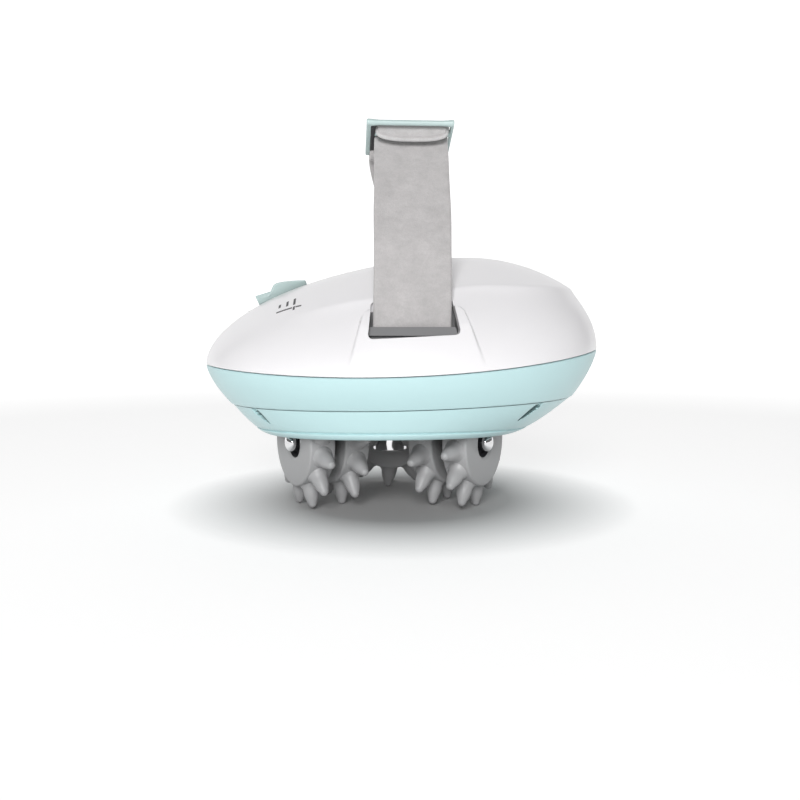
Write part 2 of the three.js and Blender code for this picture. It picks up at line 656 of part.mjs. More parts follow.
// A gear's outline: four points a tooth, with thin teeth for backlash
function gearOutline(teeth, module, turn, boreRadius) {
  const pitch = (module * teeth) / 2;
  const root = pitch - module * TOOTH_BELOW_PITCH;
  const tip = pitch + module * TOOTH_ABOVE_PITCH;
  const at = (radius, i, share) => {
    const angle = turn + ((i + share) * 2 * Math.PI) / teeth;
    return new THREE.Vector2(radius * Math.cos(angle), radius * Math.sin(angle));
  };
  const corners = Array.from({ length: teeth }, (_, i) => [
    at(root, i, -TOOTH_ROOT_SHARE),
    at(tip, i, -TOOTH_TIP_SHARE),
    at(tip, i, TOOTH_TIP_SHARE),
    at(root, i, TOOTH_ROOT_SHARE),
  ]);
  const outline = new THREE.Shape(corners.flat());
  if (boreRadius > 0) outline.holes.push(new THREE.Path().absarc(0, 0, boreRadius, 0, 2 * Math.PI, true));
  return outline;
}

// The white gear on the spindle's shaft
function outputGear() {
  const outline = gearOutline(OUTPUT_TEETH, DRIVE_MODULE, 0, SHAFT_RADIUS + SEAT_GAP);
  return plate(outline, OUTPUT_GEAR_Z, GEAR_WIDTH).translate(ROTOR_X, 0, 0);
}

// The double gear between the motor and the output gear
function idlerGear() {
  const bore = IDLER_PIN_RADIUS + RUN_GAP;
  const small = gearOutline(IDLER_SMALL_TEETH, DRIVE_MODULE, Math.PI / IDLER_SMALL_TEETH, bore);
  const large = gearOutline(IDLER_LARGE_TEETH, MOTOR_MODULE, 0, bore);
  const overlap = 0.2;
  const smallPart = solidOf(plate(small, OUTPUT_GEAR_Z, MOTOR_GEAR_Z - OUTPUT_GEAR_Z + overlap));
  const largePart = solidOf(plate(large, MOTOR_GEAR_Z, MOTOR_GEAR_WIDTH));
  return smallPart.add(largePart).translate([IDLER_X, 0, 0]);
}

// The motor's pinion with its shaft
function motorPinion() {
  const outline = gearOutline(PINION_TEETH, MOTOR_MODULE, Math.PI / PINION_TEETH, 0);
  const teeth = solidOf(plate(outline, MOTOR_GEAR_Z, MOTOR_GEAR_WIDTH)).translate([MOTOR_X, 0, 0]);
  const shaftTop = BRIDGE_TOP + SEAT_GAP + SHAFT_IN_MOTOR;
  return teeth.add(column(MOTOR_SHAFT_RADIUS, MOTOR_X, 0, MOTOR_GEAR_Z + 0.5, shaftTop, 12));
}

// The motor's can, with its nose in the bridge plate and a bore for the shaft
function motorCan() {
  const foot = BRIDGE_TOP + SEAT_GAP;
  const shaftTop = foot + SHAFT_IN_MOTOR;
  const bore = MOTOR_SHAFT_RADIUS + RUN_GAP;
  const points = [
    [bore, BRIDGE_Z + SEAT_GAP],
    [MOTOR_NOSE_RADIUS, BRIDGE_Z + SEAT_GAP],
    [MOTOR_NOSE_RADIUS, foot],
    [MOTOR_RADIUS, foot],
    [MOTOR_RADIUS, foot + MOTOR_HEIGHT - MOTOR_EDGE],
    [MOTOR_RADIUS - MOTOR_EDGE, foot + MOTOR_HEIGHT],
    [0, foot + MOTOR_HEIGHT],
    [0, shaftTop + RUN_GAP],
    [bore, shaftTop + RUN_GAP],
    [bore, BRIDGE_Z + SEAT_GAP],
  ];
  return turned(points, 24).translate(MOTOR_X, 0, 0);
}

// Where the bridge's four pillars stand
function pillarSpots() {
  const gearReach = (DRIVE_MODULE * (OUTPUT_TEETH + 2)) / 2 + PILLAR_RADIUS + 2;
  return [-1, 1].flatMap((side) => [
    [ROTOR_X, side * gearReach],
    [MOTOR_X + PILLAR_RADIUS, side * (MOTOR_RADIUS + PILLAR_RADIUS + 2)],
  ]);
}

// The black plate that the gearbox stands on
function chassisPlate() {
  let base = column(CHASSIS_RADIUS, ROTOR_X, 0, CHASSIS_Z, CHASSIS_TOP, BODY_SIDES);
  for (const [x, y] of chassisScrewSpots()) {
    base = base.add(column(SCREW_COLUMN_RADIUS, x, y, CHASSIS_Z, CHASSIS_TOP));
    base = base.subtract(column(SCREW_RADIUS + SEAT_GAP, x, y, 0, CROWN_Z));
  }
  for (const [x, y] of pillarSpots()) base = base.subtract(column(SCREW_RADIUS + SEAT_GAP, x, y, 0, CROWN_Z));
  for (const sx of [-1, 1]) {
    for (const sy of [-1, 1]) {
      const x = BOARD_X + sx * (BOARD_LENGTH / 2 - STANDOFF_RADIUS);
      const y = sy * (BOARD_WIDTH / 2 - STANDOFF_RADIUS);
      if (Math.hypot(x - ROTOR_X, y) + STANDOFF_RADIUS > CHASSIS_RADIUS) continue;
      base = base.add(column(STANDOFF_RADIUS, x, y, CHASSIS_Z, CHASSIS_TOP + STANDOFF_HEIGHT, 12));
    }
  }
  const pinHole = column(IDLER_PIN_RADIUS + SEAT_GAP, IDLER_X, 0, 0, CROWN_Z);
  const bushHole = column(SHAFT_RADIUS + RUN_GAP + BUSH_WALL + SEAT_GAP, ROTOR_X, 0, 0, CROWN_Z);
  return base.subtract(pinHole).subtract(bushHole);
}

// The plate above the gears, with its four pillars down to the chassis
function gearBridge() {
  const corners = pillarSpots();
  const order = [corners[0], corners[1], corners[3], corners[2]];
  const outline = new THREE.Shape(order.map(([x, y]) => new THREE.Vector2(x, y)));
  let bridge = solidOf(plate(outline, BRIDGE_Z, BRIDGE_THICKNESS));
  for (const [x, y] of corners) {
    bridge = bridge.add(column(PILLAR_RADIUS, x, y, CHASSIS_TOP + SEAT_GAP, BRIDGE_TOP));
  }
  const reach = SHAFT_RADIUS + RUN_GAP + BUSH_WALL + SEAT_GAP;
  bridge = bridge.add(column(reach + 2, ROTOR_X, 0, BRIDGE_Z, BRIDGE_TOP));
  for (const [x, y] of corners) bridge = bridge.subtract(column(SCREW_RADIUS + SEAT_GAP, x, y, 0, CROWN_Z));
  const nose = column(MOTOR_NOSE_RADIUS + SEAT_GAP, MOTOR_X, 0, 0, CROWN_Z);
  const pin = column(IDLER_PIN_RADIUS + SEAT_GAP, IDLER_X, 0, 0, CROWN_Z);
  return bridge.subtract(nose).subtract(pin).subtract(column(reach, ROTOR_X, 0, 0, CROWN_Z));
}

// A flanged brass bush round the spindle's shaft, its flange on top of a plate
function bush(plateLow, plateTop) {
  const bore = SHAFT_RADIUS + RUN_GAP;
  const outer = bore + BUSH_WALL;
  const flangeFoot = plateTop + SEAT_GAP;
  const points = [
    [bore, plateLow],
    [outer, plateLow],
    [outer, flangeFoot],
    [outer + BUSH_FLANGE, flangeFoot],
    [outer + BUSH_FLANGE, flangeFoot + BUSH_FLANGE_THICKNESS],
    [bore, flangeFoot + BUSH_FLANGE_THICKNESS],
    [bore, plateLow],
  ];
  return turned(points, 20).translate(ROTOR_X, 0, 0);
}

// The polished spindle: the thick hub that holds the axles, and the shaft through the gearbox
function spindle() {
  const foot = HUB_Z - SPINDLE_BELOW_AXLES;
  const shoulder = DISC_Z - SEAT_GAP;
  const shaftTop = BRIDGE_TOP + SEAT_GAP + BUSH_FLANGE_THICKNESS + 1;
  const points = [
    [0, foot],
    [SPINDLE_RADIUS - 0.6, foot],
    [SPINDLE_RADIUS, foot + 0.6],
    [SPINDLE_RADIUS, shoulder],
    [SHAFT_RADIUS, shoulder],
    [SHAFT_RADIUS, shaftTop],
    [0, shaftTop],
  ];
  let solid = solidOf(turned(points, 24));
  for (const angle of ROLLER_ANGLES) {
    const bottom = SPINDLE_RADIUS - AXLE_SOCKET_DEPTH;
    const socket = rod(AXLE_RADIUS + SEAT_GAP, bottom, SPINDLE_RADIUS * 2, 0, HUB_Z);
    solid = solid.subtract(socket.rotate([0, 0, angle]));
  }
  return solid.translate([ROTOR_X, 0, 0]);
}

// The black disc that closes the cavity above the wheels, with a slot for each arm's tenon
function rotorDisc() {
  let disc = column(CAVITY_RADIUS - SWEEP_GAP, 0, 0, DISC_Z, DISC_Z + DISC_THICKNESS, 48);
  const middle = (ARM_IN + OUTER_WHEEL_IN) / 2 - RUN_GAP / 2;
  const half = ARM_THICKNESS / 2 + SEAT_GAP;
  const side = ARM_TENON_WIDTH / 2 + SEAT_GAP;
  for (const angle of ROLLER_ANGLES) {
    const slot = block([middle - half, -side, 0], [middle + half, side, CROWN_Z]);
    disc = disc.subtract(slot.rotate([0, 0, angle]));
  }
  return disc.subtract(column(SHAFT_RADIUS + SEAT_GAP, 0, 0, 0, CROWN_Z)).translate([ROTOR_X, 0, 0]);
}

// In a roller's own frame X runs outwards along its axle, from the rotor's axis

// The black arm between a roller's two wheels, with its tenon in the disc
function rollerArm() {
  const shoulder = DISC_Z - SEAT_GAP;
  const tenonTop = DISC_Z + DISC_THICKNESS;
  const outline = new THREE.Shape();
  outline.moveTo(ARM_TOP_WIDTH / 2, shoulder);
  outline.lineTo(ARM_TENON_WIDTH / 2, shoulder);
  outline.lineTo(ARM_TENON_WIDTH / 2, tenonTop);
  outline.lineTo(-ARM_TENON_WIDTH / 2, tenonTop);
  outline.lineTo(-ARM_TENON_WIDTH / 2, shoulder);
  outline.lineTo(-ARM_TOP_WIDTH / 2, shoulder);
  outline.lineTo(-ARM_FOOT_RADIUS, HUB_Z);
  outline.absarc(0, HUB_Z, ARM_FOOT_RADIUS, Math.PI, 2 * Math.PI, false);
  const hole = new THREE.Path().absarc(0, HUB_Z, AXLE_RADIUS + SEAT_GAP, 0, 2 * Math.PI, true);
  outline.holes.push(hole);
  const arm = plate(outline, 0, ARM_THICKNESS, 12);
  return arm.rotateX(Math.PI / 2).rotateZ(Math.PI / 2).translate(ARM_IN, 0, 0);
}

// The axle with its domed head beyond the outer wheel
function rollerAxle() {
  const inner = SPINDLE_RADIUS - AXLE_SOCKET_DEPTH + SEAT_GAP;
  const headFoot = OUTER_WHEEL_OUT - HUB_RECESS_DEPTH + RUN_GAP;
  const domeStart = AXLE_END - AXLE_HEAD_RADIUS;
  const points = [
    [0, inner],
    [AXLE_RADIUS, inner],
    [AXLE_RADIUS, headFoot],
    [AXLE_HEAD_RADIUS, headFoot],
    [AXLE_HEAD_RADIUS, domeStart],
    [AXLE_HEAD_RADIUS * 0.924, domeStart + AXLE_HEAD_RADIUS * 0.383],
    [AXLE_HEAD_RADIUS * 0.707, domeStart + AXLE_HEAD_RADIUS * 0.707],
    [AXLE_HEAD_RADIUS * 0.383, domeStart + AXLE_HEAD_RADIUS * 0.924],
    [0, AXLE_END],
  ];
  return turned(points).rotateY(Math.PI / 2).translate(0, 0, HUB_Z);
}

// The sleeve that keeps the inner wheel off the spindle
function axleSpacer() {
  const from = SPINDLE_RADIUS + RUN_GAP;
  const bore = AXLE_RADIUS + SEAT_GAP;
  const points = [
    [bore, from],
    [SPACER_RADIUS, from],
    [SPACER_RADIUS, from + SPACER_LENGTH],
    [bore, from + SPACER_LENGTH],
    [bore, from],
  ];
  return turned(points).rotateY(Math.PI / 2).translate(0, 0, HUB_Z);
}

// A wheel with its ring of blunt spikes; phase turns the spikes from straight down
function spikedWheel(from, phase) {
  const bore = AXLE_RADIUS + RUN_GAP;
  const profile = [
    [bore, 0],
    [WHEEL_RADIUS - WHEEL_EDGE, 0],
    [WHEEL_RADIUS, WHEEL_EDGE],
    [WHEEL_RADIUS, WHEEL_WIDTH - WHEEL_EDGE],
    [WHEEL_RADIUS - WHEEL_EDGE, WHEEL_WIDTH],
    [HUB_RECESS_RADIUS, WHEEL_WIDTH],
    [HUB_RECESS_RADIUS, WHEEL_WIDTH - HUB_RECESS_DEPTH],
    [bore, WHEEL_WIDTH - HUB_RECESS_DEPTH],
    [bore, 0],
  ];
  let wheel = solidOf(turned(profile, WHEEL_SIDES).rotateY(Math.PI / 2));
  for (let i = 0; i < SPIKES_PER_WHEEL; i++) {
    const spike = wheelSpike().rotateX(rad(180 + phase) + (i * 2 * Math.PI) / SPIKES_PER_WHEEL);
    wheel = wheel.add(solidOf(spike.translate(WHEEL_WIDTH / 2, 0, 0)));
  }
  return wheel.translate([from, 0, HUB_Z]);
}

// One spike standing along Z on the wheel's rim, with a flared foot and a round tip
function wheelSpike() {
  const tip = WHEEL_RADIUS + SPIKE_HEIGHT;
  const points = [
    [0, WHEEL_RADIUS - 1.5],
    [SPIKE_FOOT_RADIUS, WHEEL_RADIUS - 1.5],
    [SPIKE_FOOT_RADIUS * 0.82, WHEEL_RADIUS + SPIKE_HEIGHT * 0.22],
    [SPIKE_TIP_RADIUS, tip - SPIKE_TIP_RADIUS * 0.7],
    [0, tip],
  ];
  return turned(points, SPIKE_SIDES);
}

// The two strap pins lie along X, inside the slots
function strapPin(side) {
  const reach = SLOT_HALF_FOOT + LINER_WALL;
  return rod(PIN_RADIUS, -reach, reach, side * PIN_Y, PIN_Z);
}

// The grey liner of a slot: a tray whose cheeks hold the strap pin, with a sill before the strap
function slotLiner(side) {
  const reach = SLOT_HALF_FOOT + LINER_WALL;
  const floor = PIN_Z - EYE_RADIUS - RUN_GAP;
  const back = SLOT_BACK_Y - LINER_WALL;
  const ySpan = (near, far) => (side < 0 ? [-far, -near] : [near, far]);
  const [outerLow, outerHigh] = ySpan(back, BODY_DEPTH);
  const [innerLow, innerHigh] = ySpan(SLOT_BACK_Y, BODY_DEPTH);
  const outer = block([-reach, outerLow, floor - LINER_WALL], [reach, outerHigh, CROWN_Z]);
  const inner = block([-SLOT_HALF_FOOT, innerLow, floor], [SLOT_HALF_FOOT, innerHigh, CROWN_Z + 1]);
  const hole = rod(PIN_RADIUS + SEAT_GAP, -BODY_LENGTH, BODY_LENGTH, side * PIN_Y, PIN_Z);
  const under = dome(-WALL - SEAT_GAP, 1);
  const tray = outer.intersect(under).subtract(inner).subtract(hole);
  const half = SLOT_HALF_FOOT - SILL_INSET;
  const [sillLow, sillHigh] = ySpan(PIN_Y + EYE_RADIUS + RUN_GAP, BODY_DEPTH);
  const sill = (foot, head) => block([-half, sillLow, foot], [half, sillHigh, head]);
  const inShell = sill(floor - LINER_WALL, SLOT_FOOT_Z + SILL_HEIGHT).intersect(under);
  const inSlot = sill(SLOT_FOOT_Z + SEAT_GAP, SLOT_FOOT_Z + SILL_HEIGHT).intersect(dome(-SILL_BELOW_SKIN, 1));
  return tray.add(inShell).add(inSlot);
}

// The buckle's bars, as [y, z] places: front, middle and rear
function buckleBars() {
  const slope = rad(BUCKLE_SLOPE);
  return [0, BUCKLE_FRONT_PITCH, BUCKLE_LENGTH].map((along) => [
    BUCKLE_Y + along * Math.cos(slope),
    LOOP_HEIGHT - BUCKLE_BAR_RADIUS - along * Math.sin(slope),
  ]);
}

// Leans a strap piece sideways as it climbs from the slots to the buckle
function leaned(geometry) {
  const share = STRAP_LEAN / (LOOP_HEIGHT - PIN_Z);
  const lean = new THREE.Matrix4().makeShear(0, 0, 0, 0, share, 0);
  return geometry.translate(0, 0, -PIN_Z).applyMatrix4(lean).translate(0, 0, PIN_Z);
}

// A band that follows a path of [y, z] points, the strap's width along X
function bandAlong(path) {
  const sideOf = (i, way) => {
    const before = path[Math.max(i - 1, 0)];
    const after = path[Math.min(i + 1, path.length - 1)];
    const direction = after.clone().sub(before).normalize();
    const [dy, dz] = [-direction.y, direction.x].map((v) => (v * way * STRAP_THICKNESS) / 2);
    return new THREE.Vector2(path[i].x + dy, path[i].y + dz);
  };
  const left = path.map((_, i) => sideOf(i, 1));
  const right = path.map((_, i) => sideOf(i, -1)).reverse();
  const outline = new THREE.Shape([...left, ...right]);
  const geometry = new THREE.ExtrudeGeometry(outline, { depth: STRAP_WIDTH, bevelEnabled: false });
  geometry.rotateX(Math.PI / 2).rotateZ(Math.PI / 2).translate(-STRAP_WIDTH / 2, 0, 0);
  return geometry;
}

// The curve of a strap from its pin to a bar of the buckle, bowed outwards over the hand
function strapPath(side, bar) {
  const reach = PIN_RADIUS + SEAT_GAP + STRAP_THICKNESS / 2;
  const start = new THREE.Vector2(side * (PIN_Y + reach), PIN_Z);
  const barReach = BUCKLE_BAR_RADIUS + SEAT_GAP + STRAP_THICKNESS / 2;
  const [level, steep] = [Math.cos(rad(STRAP_APPROACH)), Math.sin(rad(STRAP_APPROACH))];
  const end = new THREE.Vector2(bar[0] + barReach * steep, bar[1] + side * barReach * level);
  const pull = (LOOP_HEIGHT - PIN_Z) * 0.35;
  const first = new THREE.Vector2(start.x - side * 2.5, start.y + pull);
  const second = new THREE.Vector2(end.x + side * pull * level, end.y - pull * steep);
  return new THREE.CubicBezierCurve(start, first, second, end).getPoints(10);
}

// A loop of strap round a bar or pin
function strapEye(radius, y, z) {
  const half = STRAP_WIDTH / 2;
  const outer = rod(radius + SEAT_GAP + STRAP_THICKNESS, -half, half, y, z);
  return outer.subtract(rod(radius + SEAT_GAP, -half - 1, half + 1, y, z));
}

// The front band: it climbs behind the buckle's middle bar and turns forward over it
function frontStrap() {
  const middle = buckleBars()[1];
  const reach = BUCKLE_BAR_RADIUS + SEAT_GAP + STRAP_THICKNESS / 2;
  const path = strapPath(-1, middle);
  const [from, steps] = [rad(STRAP_APPROACH - 90), 6];
  for (let i = 1; i <= steps; i++) {
    const angle = from + ((Math.PI - from) * i) / steps;
    path.push(new THREE.Vector2(middle[0] + reach * Math.cos(angle), middle[1] + reach * Math.sin(angle)));
  }
  const band = solidOf(bandAlong(path)).add(strapEye(PIN_RADIUS, -PIN_Y, PIN_Z));
  const hole = rod(PIN_RADIUS + SEAT_GAP, -STRAP_WIDTH, STRAP_WIDTH, -PIN_Y, PIN_Z);
  return leaned(geometryOf(band.subtract(hole)));
}

// The rear band, sewn round its pin and round the buckle's rear bar
function rearStrap() {
  const [y, z] = buckleBars()[2];
  const band = solidOf(bandAlong(strapPath(1, [y, z])));
  const eyes = strapEye(PIN_RADIUS, PIN_Y, PIN_Z).add(strapEye(BUCKLE_BAR_RADIUS, y, z));
  const holes = rod(PIN_RADIUS + SEAT_GAP, -STRAP_WIDTH, STRAP_WIDTH, PIN_Y, PIN_Z).add(
    rod(BUCKLE_BAR_RADIUS + SEAT_GAP, -STRAP_WIDTH, STRAP_WIDTH, y, z),
  );
  return leaned(geometryOf(band.add(eyes).subtract(holes)));
}

// The strap's free end: a stiffened half-round tab that hangs before the front band
function strapTab() {
  const half = STRAP_WIDTH / 2;
  const outline = new THREE.Shape();
  outline.moveTo(half, 0);
  outline.lineTo(-half, 0);
  outline.lineTo(-half, -TAB_SIDE);
  outline.bezierCurveTo(-half, -TAB_LENGTH, -half * 0.5, -TAB_LENGTH, 0, -TAB_LENGTH);
  outline.bezierCurveTo(half * 0.5, -TAB_LENGTH, half, -TAB_LENGTH, half, -TAB_SIDE);
  const [y, z] = tabHinge();
  const geometry = plate(outline, -TAB_THICKNESS / 2, TAB_THICKNESS, 8).translate(0, -STRAP_THICKNESS / 2 - SEAT_GAP, 0);
  geometry.rotateX(rad(90 - BUCKLE_SLOPE)).translate(0, y, z);
  return leaned(geometry);
}

// The fold that the tab peels about, as a [y, z] place
function tabHinge() {
  const [y, z] = buckleBars()[1];
  return [y - BUCKLE_BAR_RADIUS - SEAT_GAP - STRAP_THICKNESS / 2, z];
}

// The mint buckle: two side rails and three round bars
function strapBuckle() {
  const r = BUCKLE_BAR_RADIUS;
  const left = -STRAP_WIDTH / 2 - BUCKLE_LEFT_GAP;
  const right = STRAP_WIDTH / 2 + BUCKLE_RIGHT_GAP;
  let frame = block([left - BUCKLE_RAIL_WIDTH, -r, -r], [left, BUCKLE_LENGTH + r, r]);
  frame = frame.add(block([right, -r, -r], [right + BUCKLE_RAIL_WIDTH, BUCKLE_LENGTH + r, r]));
  const sink = BUCKLE_RAIL_WIDTH / 2;
  for (const along of [0, BUCKLE_FRONT_PITCH, BUCKLE_LENGTH]) {
    frame = frame.add(rod(r * 0.98, left - sink, right + sink, along, 0));
  }
  const placed = frame.rotate([-BUCKLE_SLOPE, 0, 0]).translate([0, BUCKLE_Y, LOOP_HEIGHT - r]);
  const lift = (STRAP_LEAN * (LOOP_HEIGHT - r - PIN_Z)) / (LOOP_HEIGHT - PIN_Z);
  return placed.translate([lift, 0, 0]);
}

// The circuit board on its standoffs, with a driver chip and a socket for the leads
function circuitBoard() {
  const foot = CHASSIS_TOP + STANDOFF_HEIGHT + SEAT_GAP;
  const top = foot + BOARD_THICKNESS;
  const [halfLength, halfWidth] = [BOARD_LENGTH / 2, BOARD_WIDTH / 2];
  const panel = block([BOARD_X - halfLength, -halfWidth, foot], [BOARD_X + halfLength, halfWidth, top]);
  const onBoard = ([length, width, height], y) =>
    block([BOARD_X - length / 2, y - width / 2, foot], [BOARD_X + length / 2, y + width / 2, top + height]);
  return panel.add(onBoard(CHIP_SIZE, CHIP_Y)).add(onBoard(SOCKET_SIZE, SOCKET_Y));
}

const massager = new THREE.Group();
massager.name = "roller_massager";
addPiece(massager, "upper_shell", upperShell(), white);
addPiece(massager, "lower_shell", lowerShell(), mint);
addPiece(massager, "base_ring", baseRing(), mint);
for (const [side, end] of [[-1, "front"], [1, "rear"]]) {
  addPiece(massager, end + "_slot_liner", slotLiner(side), liner);
  addPiece(massager, end + "_strap_pin", strapPin(side), steel);
}
addPiece(massager, "front_strap", frontStrap(), velour);
addPiece(massager, "rear_strap", rearStrap(), velour);
addPiece(massager, "strap_tab", strapTab(), velour);
addPiece(massager, "strap_buckle", strapBuckle(), mint);
addPiece(massager, "switch_slider", switchSlider(), mint);
addPiece(massager, "switch_track", switchTrack(), black);
addPiece(massager, "switch_body", switchBody(), black);
addPiece(massager, "power_inlet", powerInlet(), black);
addPiece(massager, "circuit_board", circuitBoard(), board);
addPiece(massager, "chassis_plate", chassisPlate(), black);
addPiece(massager, "gear_bridge", gearBridge(), black);
addPiece(massager, "motor", motorCan(), steel);
addPiece(massager, "motor_pinion", motorPinion(), brass);
addPiece(massager, "idler_gear", idlerGear(), nylon);
addPiece(massager, "idler_pin", column(IDLER_PIN_RADIUS, IDLER_X, 0, CHASSIS_Z, BRIDGE_TOP), steel);
addPiece(massager, "output_gear", outputGear(), nylon);
addPiece(massager, "spindle", spindle(), chrome);
addPiece(massager, "lower_bush", bush(CHASSIS_Z, CHASSIS_TOP), brass);
addPiece(massager, "upper_bush", bush(BRIDGE_Z, BRIDGE_TOP), brass);
addPiece(massager, "rotor_disc", rotorDisc(), black);

shellScrewSpots().forEach(([x, y], i) => {
  const face = shellScrewSeat(x) - SEAT_GAP;
  addPiece(massager, "shell_screw_" + (i + 1), screw(x, y, face, SHELL_SCREW_LENGTH, true), steel);
});
chassisScrewSpots().forEach(([x, y], i) => {
  const face = CHASSIS_TOP + SEAT_GAP;
  addPiece(massager, "chassis_screw_" + (i + 1), screw(x, y, face, CHASSIS_SCREW_LENGTH, false), steel);
});
pillarSpots().forEach(([x, y], i) => {
  const face = BRIDGE_TOP + SEAT_GAP;
  addPiece(massager, "bridge_screw_" + (i + 1), screw(x, y, face, BRIDGE_TOP - CHASSIS_Z, false), steel);
});

["left", "right", "rear"].forEach((place, i) => {
  const roller = new THREE.Group();
  roller.position.x = ROTOR_X;
  roller.rotation.z = rad(ROLLER_ANGLES[i]);
  addPiece(roller, place + "_roller_arm", rollerArm(), black);
  addPiece(roller, place + "_axle", rollerAxle(), chrome);
  addPiece(roller, place + "_axle_spacer", axleSpacer(), grey);
  addPiece(roller, place + "_outer_wheel", spikedWheel(OUTER_WHEEL_IN, SPIKE_PHASES[i][0]), grey);
  addPiece(roller, place + "_inner_wheel", spikedWheel(INNER_WHEEL_IN, SPIKE_PHASES[i][1]), grey);
  massager.add(roller);
});

export default massager;
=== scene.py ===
"""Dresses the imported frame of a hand-held roller massager with its visible pieces and finishes.

Lengths are worked out in millimetres and turned into metres when a mesh is made.
"""

import json
import logging
import math
from dataclasses import dataclass
from enum import Enum
from typing import Callable, Iterable, Sequence

import bmesh
import bpy
import numpy as np
from mathutils import Matrix, Vector

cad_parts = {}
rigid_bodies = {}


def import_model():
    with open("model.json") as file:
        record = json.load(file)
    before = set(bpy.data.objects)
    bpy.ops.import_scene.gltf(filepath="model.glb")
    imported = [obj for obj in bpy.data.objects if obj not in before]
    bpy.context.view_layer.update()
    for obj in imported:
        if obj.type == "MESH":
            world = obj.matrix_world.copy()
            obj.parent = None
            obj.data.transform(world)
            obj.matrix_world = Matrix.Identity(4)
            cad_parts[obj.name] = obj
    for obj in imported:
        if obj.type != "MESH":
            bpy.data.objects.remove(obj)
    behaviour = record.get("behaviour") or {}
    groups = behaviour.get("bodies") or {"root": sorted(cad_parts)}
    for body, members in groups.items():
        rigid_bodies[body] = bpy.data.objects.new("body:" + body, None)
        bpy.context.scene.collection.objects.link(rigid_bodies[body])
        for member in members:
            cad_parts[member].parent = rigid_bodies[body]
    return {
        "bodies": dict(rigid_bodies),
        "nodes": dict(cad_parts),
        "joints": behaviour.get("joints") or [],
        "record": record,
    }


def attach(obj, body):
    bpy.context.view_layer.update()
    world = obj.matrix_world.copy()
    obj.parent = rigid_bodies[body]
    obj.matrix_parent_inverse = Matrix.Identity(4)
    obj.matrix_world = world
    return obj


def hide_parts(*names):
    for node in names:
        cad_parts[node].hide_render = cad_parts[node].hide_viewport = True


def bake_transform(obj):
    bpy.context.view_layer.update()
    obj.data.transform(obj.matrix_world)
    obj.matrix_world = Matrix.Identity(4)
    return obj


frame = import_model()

LOG = logging.getLogger("massager")
MM = 0.001
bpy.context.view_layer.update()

Colour = tuple[float, float, float]
Points = np.ndarray
LYING = Matrix.Rotation(math.pi / 2, 4, "Y")
ON_SIDE = Matrix(((0, 0, 1, 0), (1, 0, 0, 0), (0, 1, 0, 0), (0, 0, 0, 1)))


def standing(side: int, back: float = 0.0) -> Matrix:
    """Stands an outline up with its depth pointing out of the front or the rear.

    Args:
        side: -1 for the front, 1 for the rear.
        back: how far from the middle its depth starts.

    Returns:
        The move, in millimetres.
    """
    return Matrix(((1, 0, 0, 0), (0, 0, side, side * back), (0, 1, 0, 0), (0, 0, 0, 1)))


def tinted(colour: Colour, factor: float, lift: float = 0.0) -> Colour:
    """Makes a colour darker or lighter, but no channel brighter than 1.

    Args:
        colour: the colour.
        factor: what each channel is multiplied by.
        lift: what is then added to each.

    Returns:
        The new colour.
    """
    return tuple(min(1.0, c * factor + lift) for c in colour)


class Value:
    """A shader socket that can stand in arithmetic."""

    def __init__(self, graph: "Graph", socket: bpy.types.NodeSocket) -> None:
        """Keeps the graph and the output socket.

        Args:
            graph: the material's node graph.
            socket: the output that carries the value.
        """
        self.graph = graph
        self.socket = socket

    def _with(self, operation: str, first: object, second: object = 0.0) -> "Value":
        """Adds one Math node.

        Args:
            operation: the Math node's operation.
            first: its first value.
            second: its second value.

        Returns:
            The node's result.
        """
        return self.graph.add("ShaderNodeMath", {"operation": operation}, {0: first, 1: second})

    def __add__(self, other: object) -> "Value":
        """Adds a number or a value."""
        return self._with("ADD", self, other)

    __radd__ = __add__

    def __mul__(self, other: object) -> "Value":
        """Multiplies by a number or a value."""
        return self._with("MULTIPLY", self, other)

    __rmul__ = __mul__

    def __sub__(self, other: object) -> "Value":
        """Subtracts a number or a value."""
        return self._with("SUBTRACT", self, other)

    def __rsub__(self, other: object) -> "Value":
        """Is subtracted from a number."""
        return self._with("SUBTRACT", other, self)

    def clipped(self) -> "Value":
        """Keeps the value between 0 and 1."""
        return self._with("MINIMUM", self._with("MAXIMUM", self, 0.0), 1.0)


